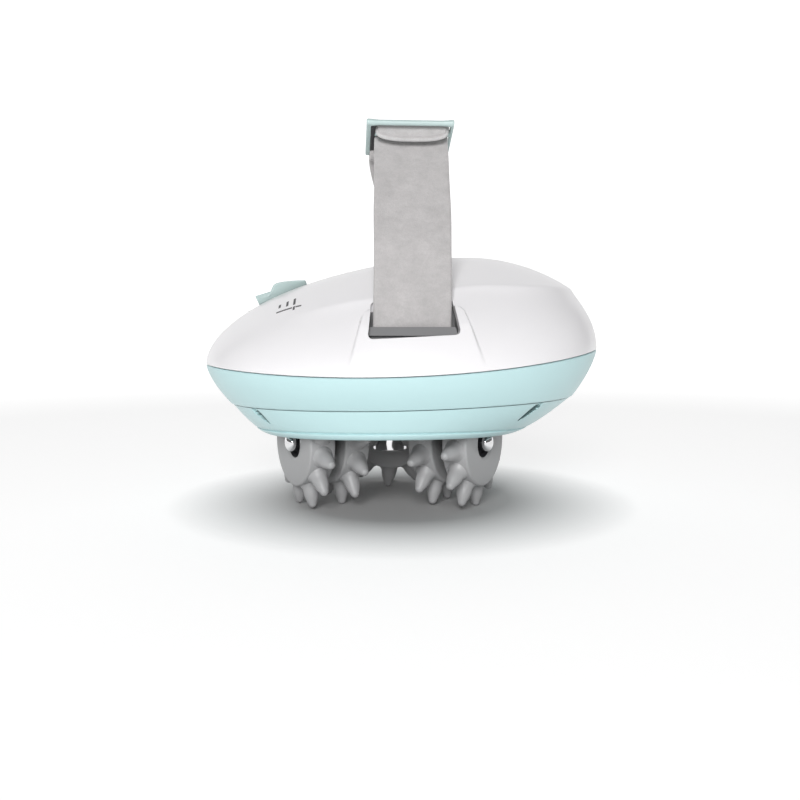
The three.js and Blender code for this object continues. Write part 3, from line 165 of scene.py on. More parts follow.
class Graph:
    """One material's nodes, ending in a Principled shader."""

    def __init__(self, name: str) -> None:
        """Starts a material with an empty tree.

        Args:
            name: the material's name.
        """
        self.material = bpy.data.materials.new(name)
        self.material.use_nodes = True
        self.tree = self.material.node_tree
        self.tree.nodes.clear()

    def add(self, kind: str, settings: dict, values: dict, output: object = 0) -> Value | None:
        """Adds any node, with its settings set before its sockets.

        Args:
            kind: the node's type.
            settings: its properties.
            values: numbers, colours or values, by socket name or index.
            output: the name or index of the output to hand back, or None for a node without one.

        Returns:
            The chosen output, if any.
        """
        node = self.tree.nodes.new(kind)
        for key, setting in settings.items():
            setattr(node, key, setting)
        for key, value in values.items():
            if isinstance(value, Value):
                self.tree.links.new(value.socket, node.inputs[key])
            else:
                node.inputs[key].default_value = value
        return None if output is None else Value(self, node.outputs[output])

    def place(self, stretch: tuple[float, float, float] = (1, 1, 1)) -> Value:
        """The point on the piece, in its own metres.

        Args:
            stretch: how much each axis is scaled before a pattern reads it.

        Returns:
            The scaled point.
        """
        here = self.add("ShaderNodeTexCoord", {}, {}, "Object")
        if stretch == (1, 1, 1):
            return here
        return self.add("ShaderNodeVectorMath", {"operation": "MULTIPLY"}, {0: here, 1: stretch})

    def noise(self, size_mm: float, detail: float = 3, stretch: tuple = (1, 1, 1)) -> Value:
        """Soft noise with features of a given size.

        Args:
            size_mm: the size of a feature.
            detail: octaves of finer noise.
            stretch: how much each axis is scaled first.

        Returns:
            A value round 0.5.
        """
        values = {"Vector": self.place(stretch), "Scale": 1 / (size_mm * MM), "Detail": detail}
        return self.add("ShaderNodeTexNoise", {}, values, "Fac")

    def mixed(self, share: object, first: object, second: object, way: str = "MIX") -> Value:
        """Mixes two colours.

        Args:
            share: how much of the second, from 0 to 1.
            first: a colour or a value.
            second: a colour or a value.
            way: the blend type.

        Returns:
            The mixed colour.
        """
        full = [c if isinstance(c, Value) else (*c, 1.0) for c in (first, second)]
        settings = {"data_type": "RGBA", "blend_type": way}
        return self.add("ShaderNodeMix", settings, {0: share, 6: full[0], 7: full[1]}, 2)

    def bump(self, height: Value, depth_mm: float, strength: float = 1.0) -> Value:
        """Turns a height into a normal.

        Args:
            height: the height, from 0 to 1.
            depth_mm: how deep a full step is.
            strength: the Bump node's strength.

        Returns:
            The normal.
        """
        values = {"Height": height, "Distance": depth_mm * MM, "Strength": strength}
        return self.add("ShaderNodeBump", {}, values, "Normal")

    def finish(self, values: dict) -> bpy.types.Material:
        """Adds the Principled shader and the output.

        Args:
            values: what its sockets hold.

        Returns:
            The finished material.
        """
        shader = self.add("ShaderNodeBsdfPrincipled", {}, values, "BSDF")
        self.add("ShaderNodeOutputMaterial", {}, {"Surface": shader}, None)
        return self.material


@dataclass(frozen=True)
class MouldedPlastic:
    """Injection-moulded plastic with a fine grain, faint flow marks and softly rubbed edges."""

    name: str
    colour: Colour
    roughness: float = 0.32
    spread: float = 0.06
    grain_mm: float = 0.45
    grain_depth_mm: float = 0.006
    coat: float = 0.0
    shade: float = 0.04
    scatter: float = 0.0
    flow_mm: float = 34
    cloud_mm: float = 9
    flat_edge: float = 0.53
    edge_gain: float = 9
    edge_share: float = 0.5
    edge_light: float = 1.12

    def material(self) -> bpy.types.Material:
        """Makes the material.

        Returns:
            The finished material.
        """
        graph = Graph(self.name)
        flow = graph.noise(self.flow_mm, 2, (1, 1, 1.6))
        cloud = graph.noise(self.cloud_mm, 3)
        grain = graph.noise(self.grain_mm, 2)
        tone = (flow * 0.6 + cloud * 0.4).clipped()
        base = graph.mixed(tone, tinted(self.colour, 1 - self.shade), tinted(self.colour, 1 + self.shade / 2))
        pointed = graph.add("ShaderNodeNewGeometry", {}, {}, "Pointiness")
        edge = ((pointed - self.flat_edge) * self.edge_gain).clipped() * self.edge_share
        worn = graph.mixed(edge * grain, base, tinted(self.colour, self.edge_light))
        gloss = (cloud - 0.5) * self.spread + (grain - 0.5) * self.spread + self.roughness
        values = {
            "Base Color": worn,
            "Roughness": gloss.clipped(),
            "Coat Weight": self.coat,
            "Coat Roughness": 0.12,
            "Subsurface Weight": self.scatter,
            "Subsurface Radius": (0.004, 0.003, 0.003),
            "Subsurface Scale": 0.5,
            "Normal": graph.bump(grain + flow * 0.5, self.grain_depth_mm),
        }
        return graph.finish(values)


@dataclass(frozen=True)
class PolishedMetal:
    """Turned or plated metal with fine marks along one direction."""

    name: str
    colour: Colour
    roughness: float
    marks: tuple[float, float, float] = (1, 1, 12)
    marks_mm: float = 2.0
    depth_mm: float = 0.003
    smudge_mm: float = 6
    dullness: float = 0.86

    def material(self) -> bpy.types.Material:
        """Makes the material.

        Returns:
            The finished material.
        """
        graph = Graph(self.name)
        marks = graph.noise(self.marks_mm, 4, self.marks)
        smudge = graph.noise(self.smudge_mm, 2)
        dull = tinted(self.colour, self.dullness)
        values = {
            "Base Color": graph.mixed(smudge * 0.5 + marks * 0.2, self.colour, dull),
            "Roughness": ((marks - 0.5) * 0.1 + (smudge - 0.5) * 0.08 + self.roughness).clipped(),
            "Metallic": 1.0,
            "Normal": graph.bump(marks, self.depth_mm),
        }
        return graph.finish(values)


@dataclass(frozen=True)
class Velour:
    """Short-napped velour whose pile lies in patches, each catching the light its own way."""

    name: str
    colour: Colour
    patch_mm: float = 7.0
    tuft_mm: float = 1.1
    fibre_mm: float = 0.28
    pile_mm: float = 0.16
    laid_dark: float = 0.87
    laid_light: float = 1.09
    root_dark: float = 0.62
    root_share: float = 0.28

    def material(self) -> bpy.types.Material:
        """Makes the material.

        Returns:
            The finished material.
        """
        graph = Graph(self.name)
        patch = graph.noise(self.patch_mm, 4, (1, 1, 0.7))
        crush = graph.noise(self.patch_mm * 0.45, 3, (0.8, 1, 1.5))
        tuft = graph.noise(self.tuft_mm, 3)
        fibre = graph.noise(self.fibre_mm, 2, (1, 1, 0.55))
        lay = ((patch - 0.5) * 1.6 + (crush - 0.5) * 1.1 + (tuft - 0.5) * 0.9 + 0.5).clipped()
        napped = graph.mixed(lay, tinted(self.colour, self.laid_dark), tinted(self.colour, self.laid_light))
        speckle = ((fibre - 0.5) * 2.4 + 0.5).clipped()
        values = {
            "Base Color": graph.mixed(speckle * self.root_share, napped, tinted(self.colour, self.root_dark)),
            "Roughness": 0.95,
            "Sheen Weight": 0.55,
            "Sheen Roughness": 0.45,
            "Normal": graph.bump(lay * 0.55 + fibre * 0.45, self.pile_mm, 0.85),
        }
        return graph.finish(values)


@dataclass(frozen=True)
class BoardLaminate:
    """Green circuit laminate with faint tracks under its mask."""

    name: str
    colour: Colour
    cells: float = 420.0
    track_from: float = 0.42
    track_gain: float = 14
    track_mm: float = 0.03

    def material(self) -> bpy.types.Material:
        """Makes the material.

        Returns:
            The finished material.
        """
        graph = Graph(self.name)
        cells = graph.add("ShaderNodeTexVoronoi", {"feature": "F1", "distance": "CHEBYCHEV"},
                          {"Vector": graph.place(), "Scale": self.cells}, "Distance")
        track = ((cells - self.track_from) * self.track_gain).clipped()
        values = {
            "Base Color": graph.mixed(track, self.colour, tinted(self.colour, 1.7, 0.02)),
            "Roughness": (graph.noise(1.5) * 0.2 + 0.3).clipped(),
            "Normal": graph.bump(track, self.track_mm),
        }
        return graph.finish(values)


class Finish(Enum):
    """The finishes of the massager."""

    WHITE_SHELL = MouldedPlastic("white shell plastic", (0.82, 0.81, 0.825), 0.3, coat=0.12)
    MINT_SHELL = MouldedPlastic("mint shell plastic", (0.49, 0.69, 0.705), 0.36, coat=0.06)
    # Painted shade for the deep part of the base ring's notches.
    NOTCH_PAINTED_SHADE = MouldedPlastic("mint plastic with painted notch shade", (0.15, 0.225, 0.23), 0.5)
    MINT_FITTING = MouldedPlastic("mint fitting plastic", (0.45, 0.56, 0.55), 0.34, grain_mm=0.35)
    SLOT_LINER = MouldedPlastic("grey liner plastic", (0.22, 0.22, 0.225), 0.5, grain_depth_mm=0.02)
    WHEEL_GREY = MouldedPlastic("grey wheel plastic", (0.36, 0.36, 0.365), 0.42, grain_depth_mm=0.012)
    # Painted shade for the wheels' hub recesses.
    RECESS_PAINTED_SHADE = MouldedPlastic("hub recess plastic with painted shade", (0.03, 0.03, 0.033), 0.4)
    BLACK_PLASTIC = MouldedPlastic("black frame plastic", (0.022, 0.022, 0.024), 0.45, grain_depth_mm=0.02)
    MARK_INK = MouldedPlastic("dark grey marking ink", (0.09, 0.09, 0.095), 0.6)
    NYLON = MouldedPlastic("gear nylon", (0.78, 0.76, 0.68), 0.42, scatter=0.15)
    CHROME = PolishedMetal("polished chrome", (0.86, 0.86, 0.87), 0.07, marks_mm=4, depth_mm=0.0006)
    STEEL = PolishedMetal("turned steel", (0.52, 0.53, 0.54), 0.3)
    MOTOR_CAN = PolishedMetal("drawn motor can", (0.58, 0.59, 0.60), 0.26, (1, 1, 20))
    BRASS = PolishedMetal("machined brass", (0.72, 0.53, 0.22), 0.26)
    VELOUR = Velour("grey velour", (0.47, 0.455, 0.455))
    # A welded rim with finer pile; its lighter colour is partly a painted highlight.
    WELDED_EDGE_HIGHLIGHT = Velour("welded velour edge with painted highlight", (0.50, 0.495, 0.495), patch_mm=4, tuft_mm=0.7, pile_mm=0.06)
    BOARD = BoardLaminate("green board laminate", (0.02, 0.16, 0.07))


class Palette:
    """Makes each finish's material once, when it is first asked for."""

    def __init__(self) -> None:
        """Starts with no materials."""
        self.made: dict[Finish, bpy.types.Material] = {}

    def __call__(self, finish: Finish) -> bpy.types.Material:
        """Hands back a finish's material.

        Args:
            finish: the finish.

        Returns:
            Its material.
        """
        if finish not in self.made:
            self.made[finish] = finish.value.material()
        return self.made[finish]


PALETTE = Palette()


class Maker:
    """Turns arrays of points in millimetres into mesh objects."""

    @staticmethod
    def mesh(name: str, points: Points, faces: Sequence[Sequence[int]],
             smooth_deg: float = 40) -> bpy.types.Object:
        """Makes one mesh object.

        Args:
            name: the piece's name.
            points: its points, in millimetres.
            faces: its faces, as tuples of point numbers.
            smooth_deg: edges sharper than this stay sharp.

        Returns:
            The object, linked to the scene.
        """
        data = bpy.data.meshes.new(name)
        data.from_pydata((np.asarray(points, float) * MM).tolist(), [], [tuple(f) for f in faces])
        shape = bmesh.new()
        shape.from_mesh(data)
        bmesh.ops.remove_doubles(shape, verts=shape.verts, dist=1e-7)
        bmesh.ops.recalc_face_normals(shape, faces=shape.faces)
        shape.to_mesh(data)
        shape.free()
        piece = bpy.data.objects.new(name, data)
        bpy.context.scene.collection.objects.link(piece)
        Maker.shade(piece, smooth_deg)
        return piece

    @staticmethod
    def shade(piece: bpy.types.Object, smooth_deg: float) -> None:
        """Shades a piece smooth up to an angle.

        Args:
            piece: the mesh object.
            smooth_deg: edges sharper than this stay sharp.
        """
        piece.data.shade_smooth()
        piece.data.set_sharp_from_angle(angle=math.radians(smooth_deg))

    @staticmethod
    def loft(name: str, rings: Points, closed: bool = False, smooth_deg: float = 40) -> bpy.types.Object:
        """Joins rings of points into one closed body.

        Args:
            name: the piece's name.
            rings: an array of rings, points and coordinates.
            closed: whether the last ring joins the first; otherwise both ends are capped.
            smooth_deg: edges sharper than this stay sharp.

        Returns:
            The object.
        """
        count, sides, _ = rings.shape
        faces: list[tuple[int, ...]] = []
        for i in range(count if closed else count - 1):
            low, high = i * sides, (i + 1) % count * sides
            for j in range(sides):
                k = (j + 1) % sides
                faces.append((low + j, low + k, high + k, high + j))
        points = rings.reshape(-1, 3)
        if not closed:
            ends = (rings[0].mean(0), rings[-1].mean(0))
            points = np.vstack([points, *ends])
            first, last = count * sides, count * sides + 1
            top = (count - 1) * sides
            for j in range(sides):
                k = (j + 1) % sides
                faces.append((first, k, j))
                faces.append((last, top + j, top + k))
        return Maker.mesh(name, points, faces, smooth_deg)

    @staticmethod
    def lathe(name: str, profile: Sequence[tuple[float, float]], sides: int, closed: bool = False,
              smooth_deg: float = 40) -> bpy.types.Object:
        """Turns a profile of (radius, height) pairs about Z.

        Args:
            name: the piece's name.
            profile: the pairs, in millimetres.
            sides: how many facets go round.
            closed: whether the profile is a ring, as of a tube.
            smooth_deg: edges sharper than this stay sharp.

        Returns:
            The object.
        """
        turn = np.linspace(0, 2 * np.pi, sides, endpoint=False)
        rings = np.array([[(r * math.cos(a), r * math.sin(a), h) for a in turn] for r, h in profile])
        return Maker.loft(name, rings, closed, smooth_deg)

    @staticmethod
    def prism(name: str, outline: Points, low: float, high: float, edge: float = 0.0,
              smooth_deg: float = 40) -> bpy.types.Object:
        """Makes an XY outline thick along Z, with rounded edges.

        Args:
            name: the piece's name.
            outline: its points, as pairs.
            low: the lower height.
            high: the upper height.
            edge: the edges' radius.
            smooth_deg: edges sharper than this stay sharp.

        Returns:
            The object.
        """
        turns = np.linspace(0, np.pi / 2, 5)
        steps = [(low, 0.0), (high, 0.0)]
        if edge:
            steps = [(low + edge * (1 - math.cos(t)), edge * (1 - math.sin(t))) for t in turns]
            steps += [(high - edge * (1 - math.cos(t)), edge * (1 - math.sin(t))) for t in turns[::-1]]
        rings = [np.column_stack([inset(outline, way), np.full(len(outline), z)]) for z, way in steps]
        return Maker.loft(name, np.array(rings), False, smooth_deg)

    @staticmethod
    def moved(piece: bpy.types.Object, matrix: Matrix) -> bpy.types.Object:
        """Moves a piece's points by a matrix in millimetres.

        Args:
            piece: the object.
            matrix: the move.

        Returns:
            The same object.
        """
        scaled = matrix.copy()
        scaled.translation = matrix.translation * MM
        piece.data.transform(scaled)
        return piece

    @staticmethod
    def baked(piece: bpy.types.Object) -> bpy.types.Object:
        """Applies a piece's modifiers to its mesh.

        Args:
            piece: the object.

        Returns:
            The same object.
        """
        seen = piece.evaluated_get(bpy.context.evaluated_depsgraph_get())
        data = bpy.data.meshes.new_from_object(seen)
        piece.modifiers.clear()
        piece.data = data
        return piece

    @staticmethod
    def combined(piece: bpy.types.Object, others: Iterable[bpy.types.Object], way: str,
                 smooth_deg: float = 35) -> bpy.types.Object:
        """Cuts other bodies from a piece, or joins them to it, and removes them.

        Args:
            piece: the object that stays.
            others: the bodies to use up.
            way: DIFFERENCE, UNION or INTERSECT.
            smooth_deg: edges sharper than this stay sharp.

        Returns:
            The same object.
        """
        used = list(others)
        for other in used:
            step = piece.modifiers.new(other.name, "BOOLEAN")
            step.operation = way
            step.solver = "EXACT"
            step.object = other
        Maker.baked(piece)
        Maker.shade(piece, smooth_deg)
        for other in used:
            bpy.data.objects.remove(other)
        return piece

    @staticmethod
    def joined(pieces: Sequence[bpy.types.Object]) -> bpy.types.Object:
        """Puts bodies that don't touch into one object.

        Args:
            pieces: the objects; all but the first are removed.

        Returns:
            The first object, holding every body.
        """
        shape = bmesh.new()
        for piece in pieces:
            shape.from_mesh(piece.data)
        shape.to_mesh(pieces[0].data)
        shape.free()
        for piece in pieces[1:]:
            bpy.data.objects.remove(piece)
        return pieces[0]

    @staticmethod
    def steadied(piece: bpy.types.Object) -> bpy.types.Object:
        """Weights a cut piece's normals by its faces, so that cuts leave no streaks.

        Args:
            piece: the object.

        Returns:
            The same object.
        """
        step = piece.modifiers.new("steady", "WEIGHTED_NORMAL")
        step.keep_sharp = True
        step.weight = 80
        return Maker.baked(piece)


def inset(outline: Points, way: float) -> Points:
    """Moves a closed XY outline inwards.

    Args:
        outline: its points, counter-clockwise.
        way: how far, in millimetres.

    Returns:
        The moved points.
    """
    if way == 0:
        return np.asarray(outline, float)
    points = np.asarray(outline, float)
    ahead = np.roll(points, -1, 0) - np.roll(points, 1, 0)
    length = np.linalg.norm(ahead, axis=1, keepdims=True)
    normal = np.column_stack([-ahead[:, 1], ahead[:, 0]]) / np.maximum(length, 1e-9)
    return points + normal * way


def rounded_polygon(corners: Sequence[tuple[float, float]], radius: float, steps: int = 6) -> Points:
    """Rounds a convex polygon's corners.

    Args:
        corners: its corners, counter-clockwise.
        radius: the corners' radius.
        steps: how many points each corner gets.

    Returns:
        The outline's points.
    """
    points = []
    total = len(corners)
    for i, corner in enumerate(corners):
        here = np.array(corner, float)
        back = np.array(corners[i - 1], float) - here
        on = np.array(corners[(i + 1) % total], float) - here
        back, on = back / np.linalg.norm(back), on / np.linalg.norm(on)
        half = math.acos(np.clip(back @ on, -1, 1)) / 2
        reach = radius / math.tan(half)
        centre = here + (back + on) / np.linalg.norm(back + on) * radius / math.sin(half)
        start = here + back * reach - centre
        sweep = math.pi - 2 * half
        for k in range(steps):
            turn = sweep * k / (steps - 1)
            c, s = math.cos(turn), math.sin(turn)
            points.append(centre + np.array([start[0] * c - start[1] * s, start[0] * s + start[1] * c]))
    return np.array(points)


def rectangle(low: tuple[float, float], high: tuple[float, float], radius: float) -> Points:
    """Makes a rectangle's outline with rounded corners.

    Args:
        low: its lowest corner.
        high: its highest corner.
        radius: the corners' radius.

    Returns:
        The outline's points.
    """
    return rounded_polygon([low, (high[0], low[1]), high, (low[0], high[1])], radius)


def rings_of(surface: Callable[..., Points], angle: Points, shares: Iterable[float],
             *offset: float) -> list[Points]:
    """Takes rings from a surface, one at each share of its height.

    Args:
        surface: gives points for angles and shares.
        angle: the angles of every ring, in radians.
        shares: the rings' shares.
        offset: how far outside the surface, where it isn't on it.

    Returns:
        The rings.
    """
    return [surface(angle, np.full_like(angle, share), *offset) for share in shares]


def smooth_step(low: float, high: float, value: Points) -> Points:
    """Rises smoothly from 0 to 1 between two values."""
    share = np.clip((value - low) / (high - low), 0, 1)
    return share * share * (3 - 2 * share)


def polar(angles: Points, knots: Sequence[tuple[float, float]]) -> Points:
    """Reads a value that depends on the angle from the +X axis, the same on both sides.

    Args:
        angles: angles in radians.
        knots: pairs of an angle in degrees, from 0 to 180, and the value there.

    Returns:
        The values, smoothly joined.
    """
    away = np.degrees(np.abs(np.arctan2(np.sin(angles), np.cos(angles))))
    places, values = zip(*knots)
    fine = np.arange(0, 181)
    mirrored = np.concatenate([fine[:0:-1], fine, fine[-2::-1]])
    raw = np.interp(mirrored, places, values)
    window = np.hanning(31)
    smooth = np.convolve(raw, window / window.sum(), "same")[180:361]
    return np.interp(away, fine, smooth)


def finished(piece: bpy.types.Object, body: str, slot: str, *finishes: Finish,
             stands_for: Sequence[str] = ()) -> bpy.types.Object:
    """Gives a piece its finish, its body and the nodes that it stands for.

    Args:
        piece: the object.
        body: the body that it rides on, or "" for a piece left on no body.
        slot: the record's material slot; not used.
        finishes: its materials, first to last.
        stands_for: the CAD nodes that it replaces.

    Returns:
        The same object.
    """
    piece.data.materials.clear()
    for finish in finishes:
        piece.data.materials.append(PALETTE(finish))
    if body:
        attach(piece, body)
    if stands_for:
        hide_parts(*stands_for)
    LOG.info("%s rides on %s with %d faces", piece.name, body or "two bodies", len(piece.data.polygons))
    return piece


@dataclass
class BodyForm:
    """The smooth forms of the housing, as functions of the angle round it and a share of its height."""

    half_length: float = 76.0
    half_width: float = 60.0
    parting_curve: tuple[float, float, float] = (52.0, 3.0, 5.0)
    crown_x: float = 25.0
    crown_z: float = 95.0
    side_fullness: float = 1.5
    heel_fullness: float = 2.0
    nose_fullness: float = 1.8
    cavity_x: float = -5.0
    lip_radius: float = 48.35
    lip_z: float = 27.5
    lip_bow: float = 2.0
    waist_pinch: float = 0.28
    pinch_power: float = 1.5
    crease_share: float = 0.57
    crease_lift: float = 0.09
    crease_step: float = 0.6
    knee_along: float = 0.65
    knee_above: float = 0.12
    cap_height: float = 1.3
    cap_widths: tuple[float, float] = (0.16, 0.055)
    cap_soft: float = 0.012
    cap_ends: tuple[float, float] = (-0.92, -0.5)
    cap_rim_fade: float = 9.0
    cap_line: tuple = ((0, .79), (16, .775), (26, .753), (46, .69), (61, .63), (73, .585), (81, .592),
                       (100, .64), (117, .703), (126, .76), (134, .81), (150, .86), (180, .90))
    boss_middle: float = 0.9
    boss_foot: float = 22.6
    boss_foot_z: float = 56.7
    boss_head: float = 17.2
    boss_head_z: float = 74.2
    boss_tilt: float = 0.045
    boss_corner: float = 3.2
    boss_head_lean: float = 1.2
    boss_proud: float = 1.85
    boss_soft: float = 1.05
    boss_blend: float = 1.2
    boss_starts: tuple[float, float] = (20.0, 26.0)
    boss_rim_fade: float = 7.0

    def parting(self, x: Points) -> Points:
        """The parting line's height at a place along the body."""
        (middle, slope, bow), along = self.parting_curve, x / self.half_length
        return middle + slope * along + bow * along ** 2

    def rim(self, angle: Points, offset: float = 0.0) -> Points:
        """The parting line's points.

        Args:
            angle: angles about Z, in radians.
            offset: how far outside the parting line.

        Returns:
            The points.
        """
        x = (self.half_length + offset) * np.cos(angle)
        y = (self.half_width + offset) * np.sin(angle)
        return np.stack([x, y, self.parting(x)], -1)

    def dome(self, angle: Points, share: Points, offset: float = 0.0) -> Points:
        """The plain dome over the parting line, fuller at its ends than at its sides.

        Args:
            angle: angles about Z, in radians.
            share: 1 at the rim, 0 at the crown.
            offset: how far outside the surface.

        Returns:
            The points.
        """
        rim = self.rim(angle, offset)
        end = np.where(np.cos(angle) > 0, self.heel_fullness, self.nose_fullness)
        full = self.side_fullness + (end - self.side_fullness) * np.cos(angle) ** 2
        rise = np.maximum(1 - share ** full, 0) ** (1 / full)
        x = self.crown_x + (rim[..., 0] - self.crown_x) * share
        z = rim[..., 2] + (self.crown_z + offset - rim[..., 2]) * rise
        return np.stack([x, rim[..., 1] * share, z], -1)

    def outward(self, angle: Points, share: Points) -> Points:
        """The dome's outward direction at its points.

        Args:
            angle: angles about Z, in radians.
            share: 1 at the rim, 0 at the crown.

        Returns:
            Unit vectors.
        """
        step = 1e-3
        along = self.dome(angle + step, share) - self.dome(angle - step, share)
        down = self.dome(angle, np.minimum(share + step, 1)) - self.dome(angle, np.maximum(share - step, 0))
        normal = np.cross(along, down)
        normal *= np.where(normal[..., 2:] < 0, -1, 1)
        return normal / np.maximum(np.linalg.norm(normal, axis=-1, keepdims=True), 1e-9)

    def cap_rise(self, angle: Points, share: Points) -> Points:
        """How far the soft crease round the top stands out.

        Args:
            angle: angles about Z, in radians.
            share: 1 at the rim, 0 at the crown.

        Returns:
            Millimetres outward.
        """
        beyond = share - polar(angle, self.cap_line)
        away = np.sqrt(beyond ** 2 + self.cap_soft ** 2) - self.cap_soft
        width = np.where(beyond < 0, *self.cap_widths)
        return self.cap_height * np.exp(-away / width) * smooth_step(*self.cap_ends, np.cos(angle))

    def boss_half(self, z: Points) -> Points:
        """The strap boss's half width at a height."""
        share = (z - self.boss_foot_z) / (self.boss_head_z - self.boss_foot_z)
        return self.boss_foot + (self.boss_head - self.boss_foot) * share

    def boss_rise(self, place: Points, share: Points) -> Points:
        """How far the strap boss stands out of the dome at its points.

        Args:
            place: points of the dome.
            share: 1 at the rim, 0 at the crown.

        Returns:
            Millimetres outward.
        """
        x, y, z = place[..., 0] - self.boss_middle, np.abs(place[..., 1]), place[..., 2]
        beside = self.boss_half(z) - np.abs(x)
        below = (self.boss_head_z + self.boss_tilt * x - z) * self.boss_head_lean
        gap = self.boss_corner - np.stack([beside, below], -1)
        inside = self.boss_corner - np.linalg.norm(np.maximum(gap, 0), axis=-1)
        wall = smooth_step(0, 1, inside / self.boss_soft)
        fade = np.clip((1 - share) * self.boss_rim_fade, 0, 1)
        return self.boss_proud * wall * smooth_step(*self.boss_starts, y) * fade

    def skin(self, angle: Points, share: Points) -> Points:
        """The finished outer skin of the upper shell.

        Args:
            angle: angles about Z, in radians.
            share: 1 at the rim, 0 at the crown.

        Returns:
            The points.
        """
        plain = self.dome(angle, share)
        rise = self.cap_rise(angle, share) * np.clip((1 - share) * self.cap_rim_fade, 0, 1)
        boss = self.boss_rise(plain, share)
        proud = np.maximum(rise * (1 - smooth_step(0, self.boss_blend, boss)), 0) + boss
        return plain + self.outward(angle, share) * proud[..., None]

    def waist(self, angle: Points, share: Points, offset: float = 0.0) -> Points:
        """The lower shell's side.

        Args:
            angle: angles about Z, in radians.
            share: 0 at the parting line, 1 at the lip.
            offset: how far outside the surface.

        Returns:
            The points.
        """
        kept = 1 - self.waist_pinch * share ** self.pinch_power
        rim = self.rim(angle)
        x = (self.half_length + offset) * kept * np.cos(angle)
        y = (self.half_width + offset) * kept * np.sin(angle)
        return np.stack([x, y, rim[..., 2] - (rim[..., 2] - self.lip_z) * share], -1)

    def crease(self, angle: Points) -> Points:
        """The crease's share of the lower side, less at the front and rear, where it runs flatter."""
        return self.crease_share - self.crease_lift * np.sin(angle) ** 2

    def lip(self, angle: Points) -> Points:
        """The lip's height round the base ring."""
        return self.lip_z + self.lip_bow * np.sin(angle) ** 2

    def ring(self, angle: Points, share: Points, offset: float = 0.0) -> Points:
        """The base ring's flare from the crease to the lip.

        Args:
            angle: angles about Z, in radians.
            share: 0 at the crease, 1 at the lip.
            offset: how far outside the surface.

        Returns:
            The points.
        """
        crease = self.waist(angle, self.crease(angle), offset - self.crease_step)
        radius, low = self.lip_radius + offset, self.lip(angle)
        lip = np.stack([self.cavity_x + radius * np.cos(angle), radius * np.sin(angle), low], -1)
        knee = crease + (lip - crease) * self.knee_along
        knee[..., 2] = low + self.knee_above * (crease[..., 2] - low)
        along = share[..., None]
        return crease * (1 - along) ** 2 + 2 * knee * along * (1 - along) + lip * along ** 2


def spread_angles(count: int, extra: int, centres: Sequence[float], width: float) -> Points:
    """Angles round the body, closer together where detail is.

    Args:
        count: how many angles in all.
        extra: how strongly they crowd.
        centres: the crowded places, in degrees.
        width: how wide each is, in degrees.

    Returns:
        The angles in radians, without the closing one.
    """
    fine = np.linspace(0, 360, 7201)
    density = np.ones_like(fine)
    for centre in centres:
        away = np.abs((fine - centre + 180) % 360 - 180)
        density += extra * np.exp(-(away / width) ** 4)
    total = np.concatenate([[0], np.cumsum((density[1:] + density[:-1]) / 2)])
    wanted = np.linspace(0, total[-1], count, endpoint=False)
    return np.radians(np.interp(wanted, total, fine))


@dataclass
class UpperShell:
    """The white upper shell with its strap bosses, slots and switch window."""

    form: BodyForm
    wall: float = 2.4
    rim_edge: float = 0.35
    slot_middle: float = 0.3
    slot_foot: float = 15.6
    slot_foot_z: float = 64.7
    slot_head: float = 14.0
    slot_head_z: float = 77.2
    slot_back: float = 39.2
    slot_round: float = 1.6
    slot_lean: float = 0.05
    window: tuple[float, float] = (15.0, 4.6)
    window_round: float = 1.2
    window_place: tuple[float, float] = (-46.5, 80.73)
    slope: float = 23.5625
    columns: int = 520
    rows: int = 96
    crown_share: float = 0.012
    row_power: float = 0.86
    inner_shares: tuple[float, ...] = (0.95, 0.8, 0.6, 0.4, 0.2, 0.02)
    smooth_deg: float = 28

    def build(self) -> bpy.types.Object:
        """Makes the shell.

        Returns:
            The dressed piece.
        """
        shell = self._skin()
        cuts = [self._slot(-1), self._slot(1), self._window()]
        Maker.combined(shell, cuts, "DIFFERENCE", self.smooth_deg)
        Maker.steadied(shell)
        return finished(shell, "root", "white_shell", Finish.WHITE_SHELL, stands_for=["upper_shell"])

    def _skin(self) -> bpy.types.Object:
        """Lofts the shell's outside, its rounded rim and its inside.

        Returns:
            The closed shell, not yet cut.
        """
        angle, edge = spread_angles(self.columns, 3, (90, 270), 26), self.rim_edge
        turn = np.linspace(0, np.pi / 2, self.rows)
        shares = [self.crown_share, *np.sin(turn[1:-1]) ** self.row_power, 1.0]
        outside = rings_of(self.form.skin, angle, shares)
        rim = outside[-1]
        outward = np.column_stack([np.cos(angle), np.sin(angle), np.zeros_like(angle)])
        foot = [rim - outward * (edge * (1 - math.cos(t))) + [0, 0, edge * (1 - math.sin(t))]
                for t in (0.5, 1.0, 1.5)]
        outside[-1] = rim + [0, 0, edge]
        foot.append(self.form.rim(angle, -self.wall))
        inside = rings_of(self.form.dome, angle, self.inner_shares, -self.wall)
        return Maker.loft("upper_shell_skin", np.array(outside + foot + inside), False, self.smooth_deg)

    def _slot(self, side: int) -> bpy.types.Object:
        """Makes the body that cuts one strap slot.

        Args:
            side: -1 for the front, 1 for the rear.

        Returns:
            The body.
        """
        corners = [(-self.slot_foot, self.slot_foot_z), (self.slot_foot, self.slot_foot_z),
                   (self.slot_head, self.slot_head_z), (-self.slot_head, self.slot_head_z)]
        outline = rounded_polygon(corners, self.slot_round)
        outline[:, 1] += self.slot_lean * outline[:, 0]
        outline[:, 0] += self.slot_middle
        return Maker.moved(Maker.prism("slot_cut", outline, 0, 40), standing(side, self.slot_back))

    def _window(self) -> bpy.types.Object:
        """Makes the body that cuts the switch window.

        Returns:
            The body.
        """
        half, wide = self.window
        outline = rectangle((-half, -wide), (half, wide), self.window_round)
        return Maker.moved(Maker.prism("window_cut", outline, -12, 12), self.window_matrix())

    def window_matrix(self) -> Matrix:
        """The place of the switch on the nose, with X along the slope."""
        place = Matrix.Translation((self.window_place[0], 0, self.window_place[1]))
        return place @ Matrix.Rotation(math.radians(-self.slope), 4, "Y")


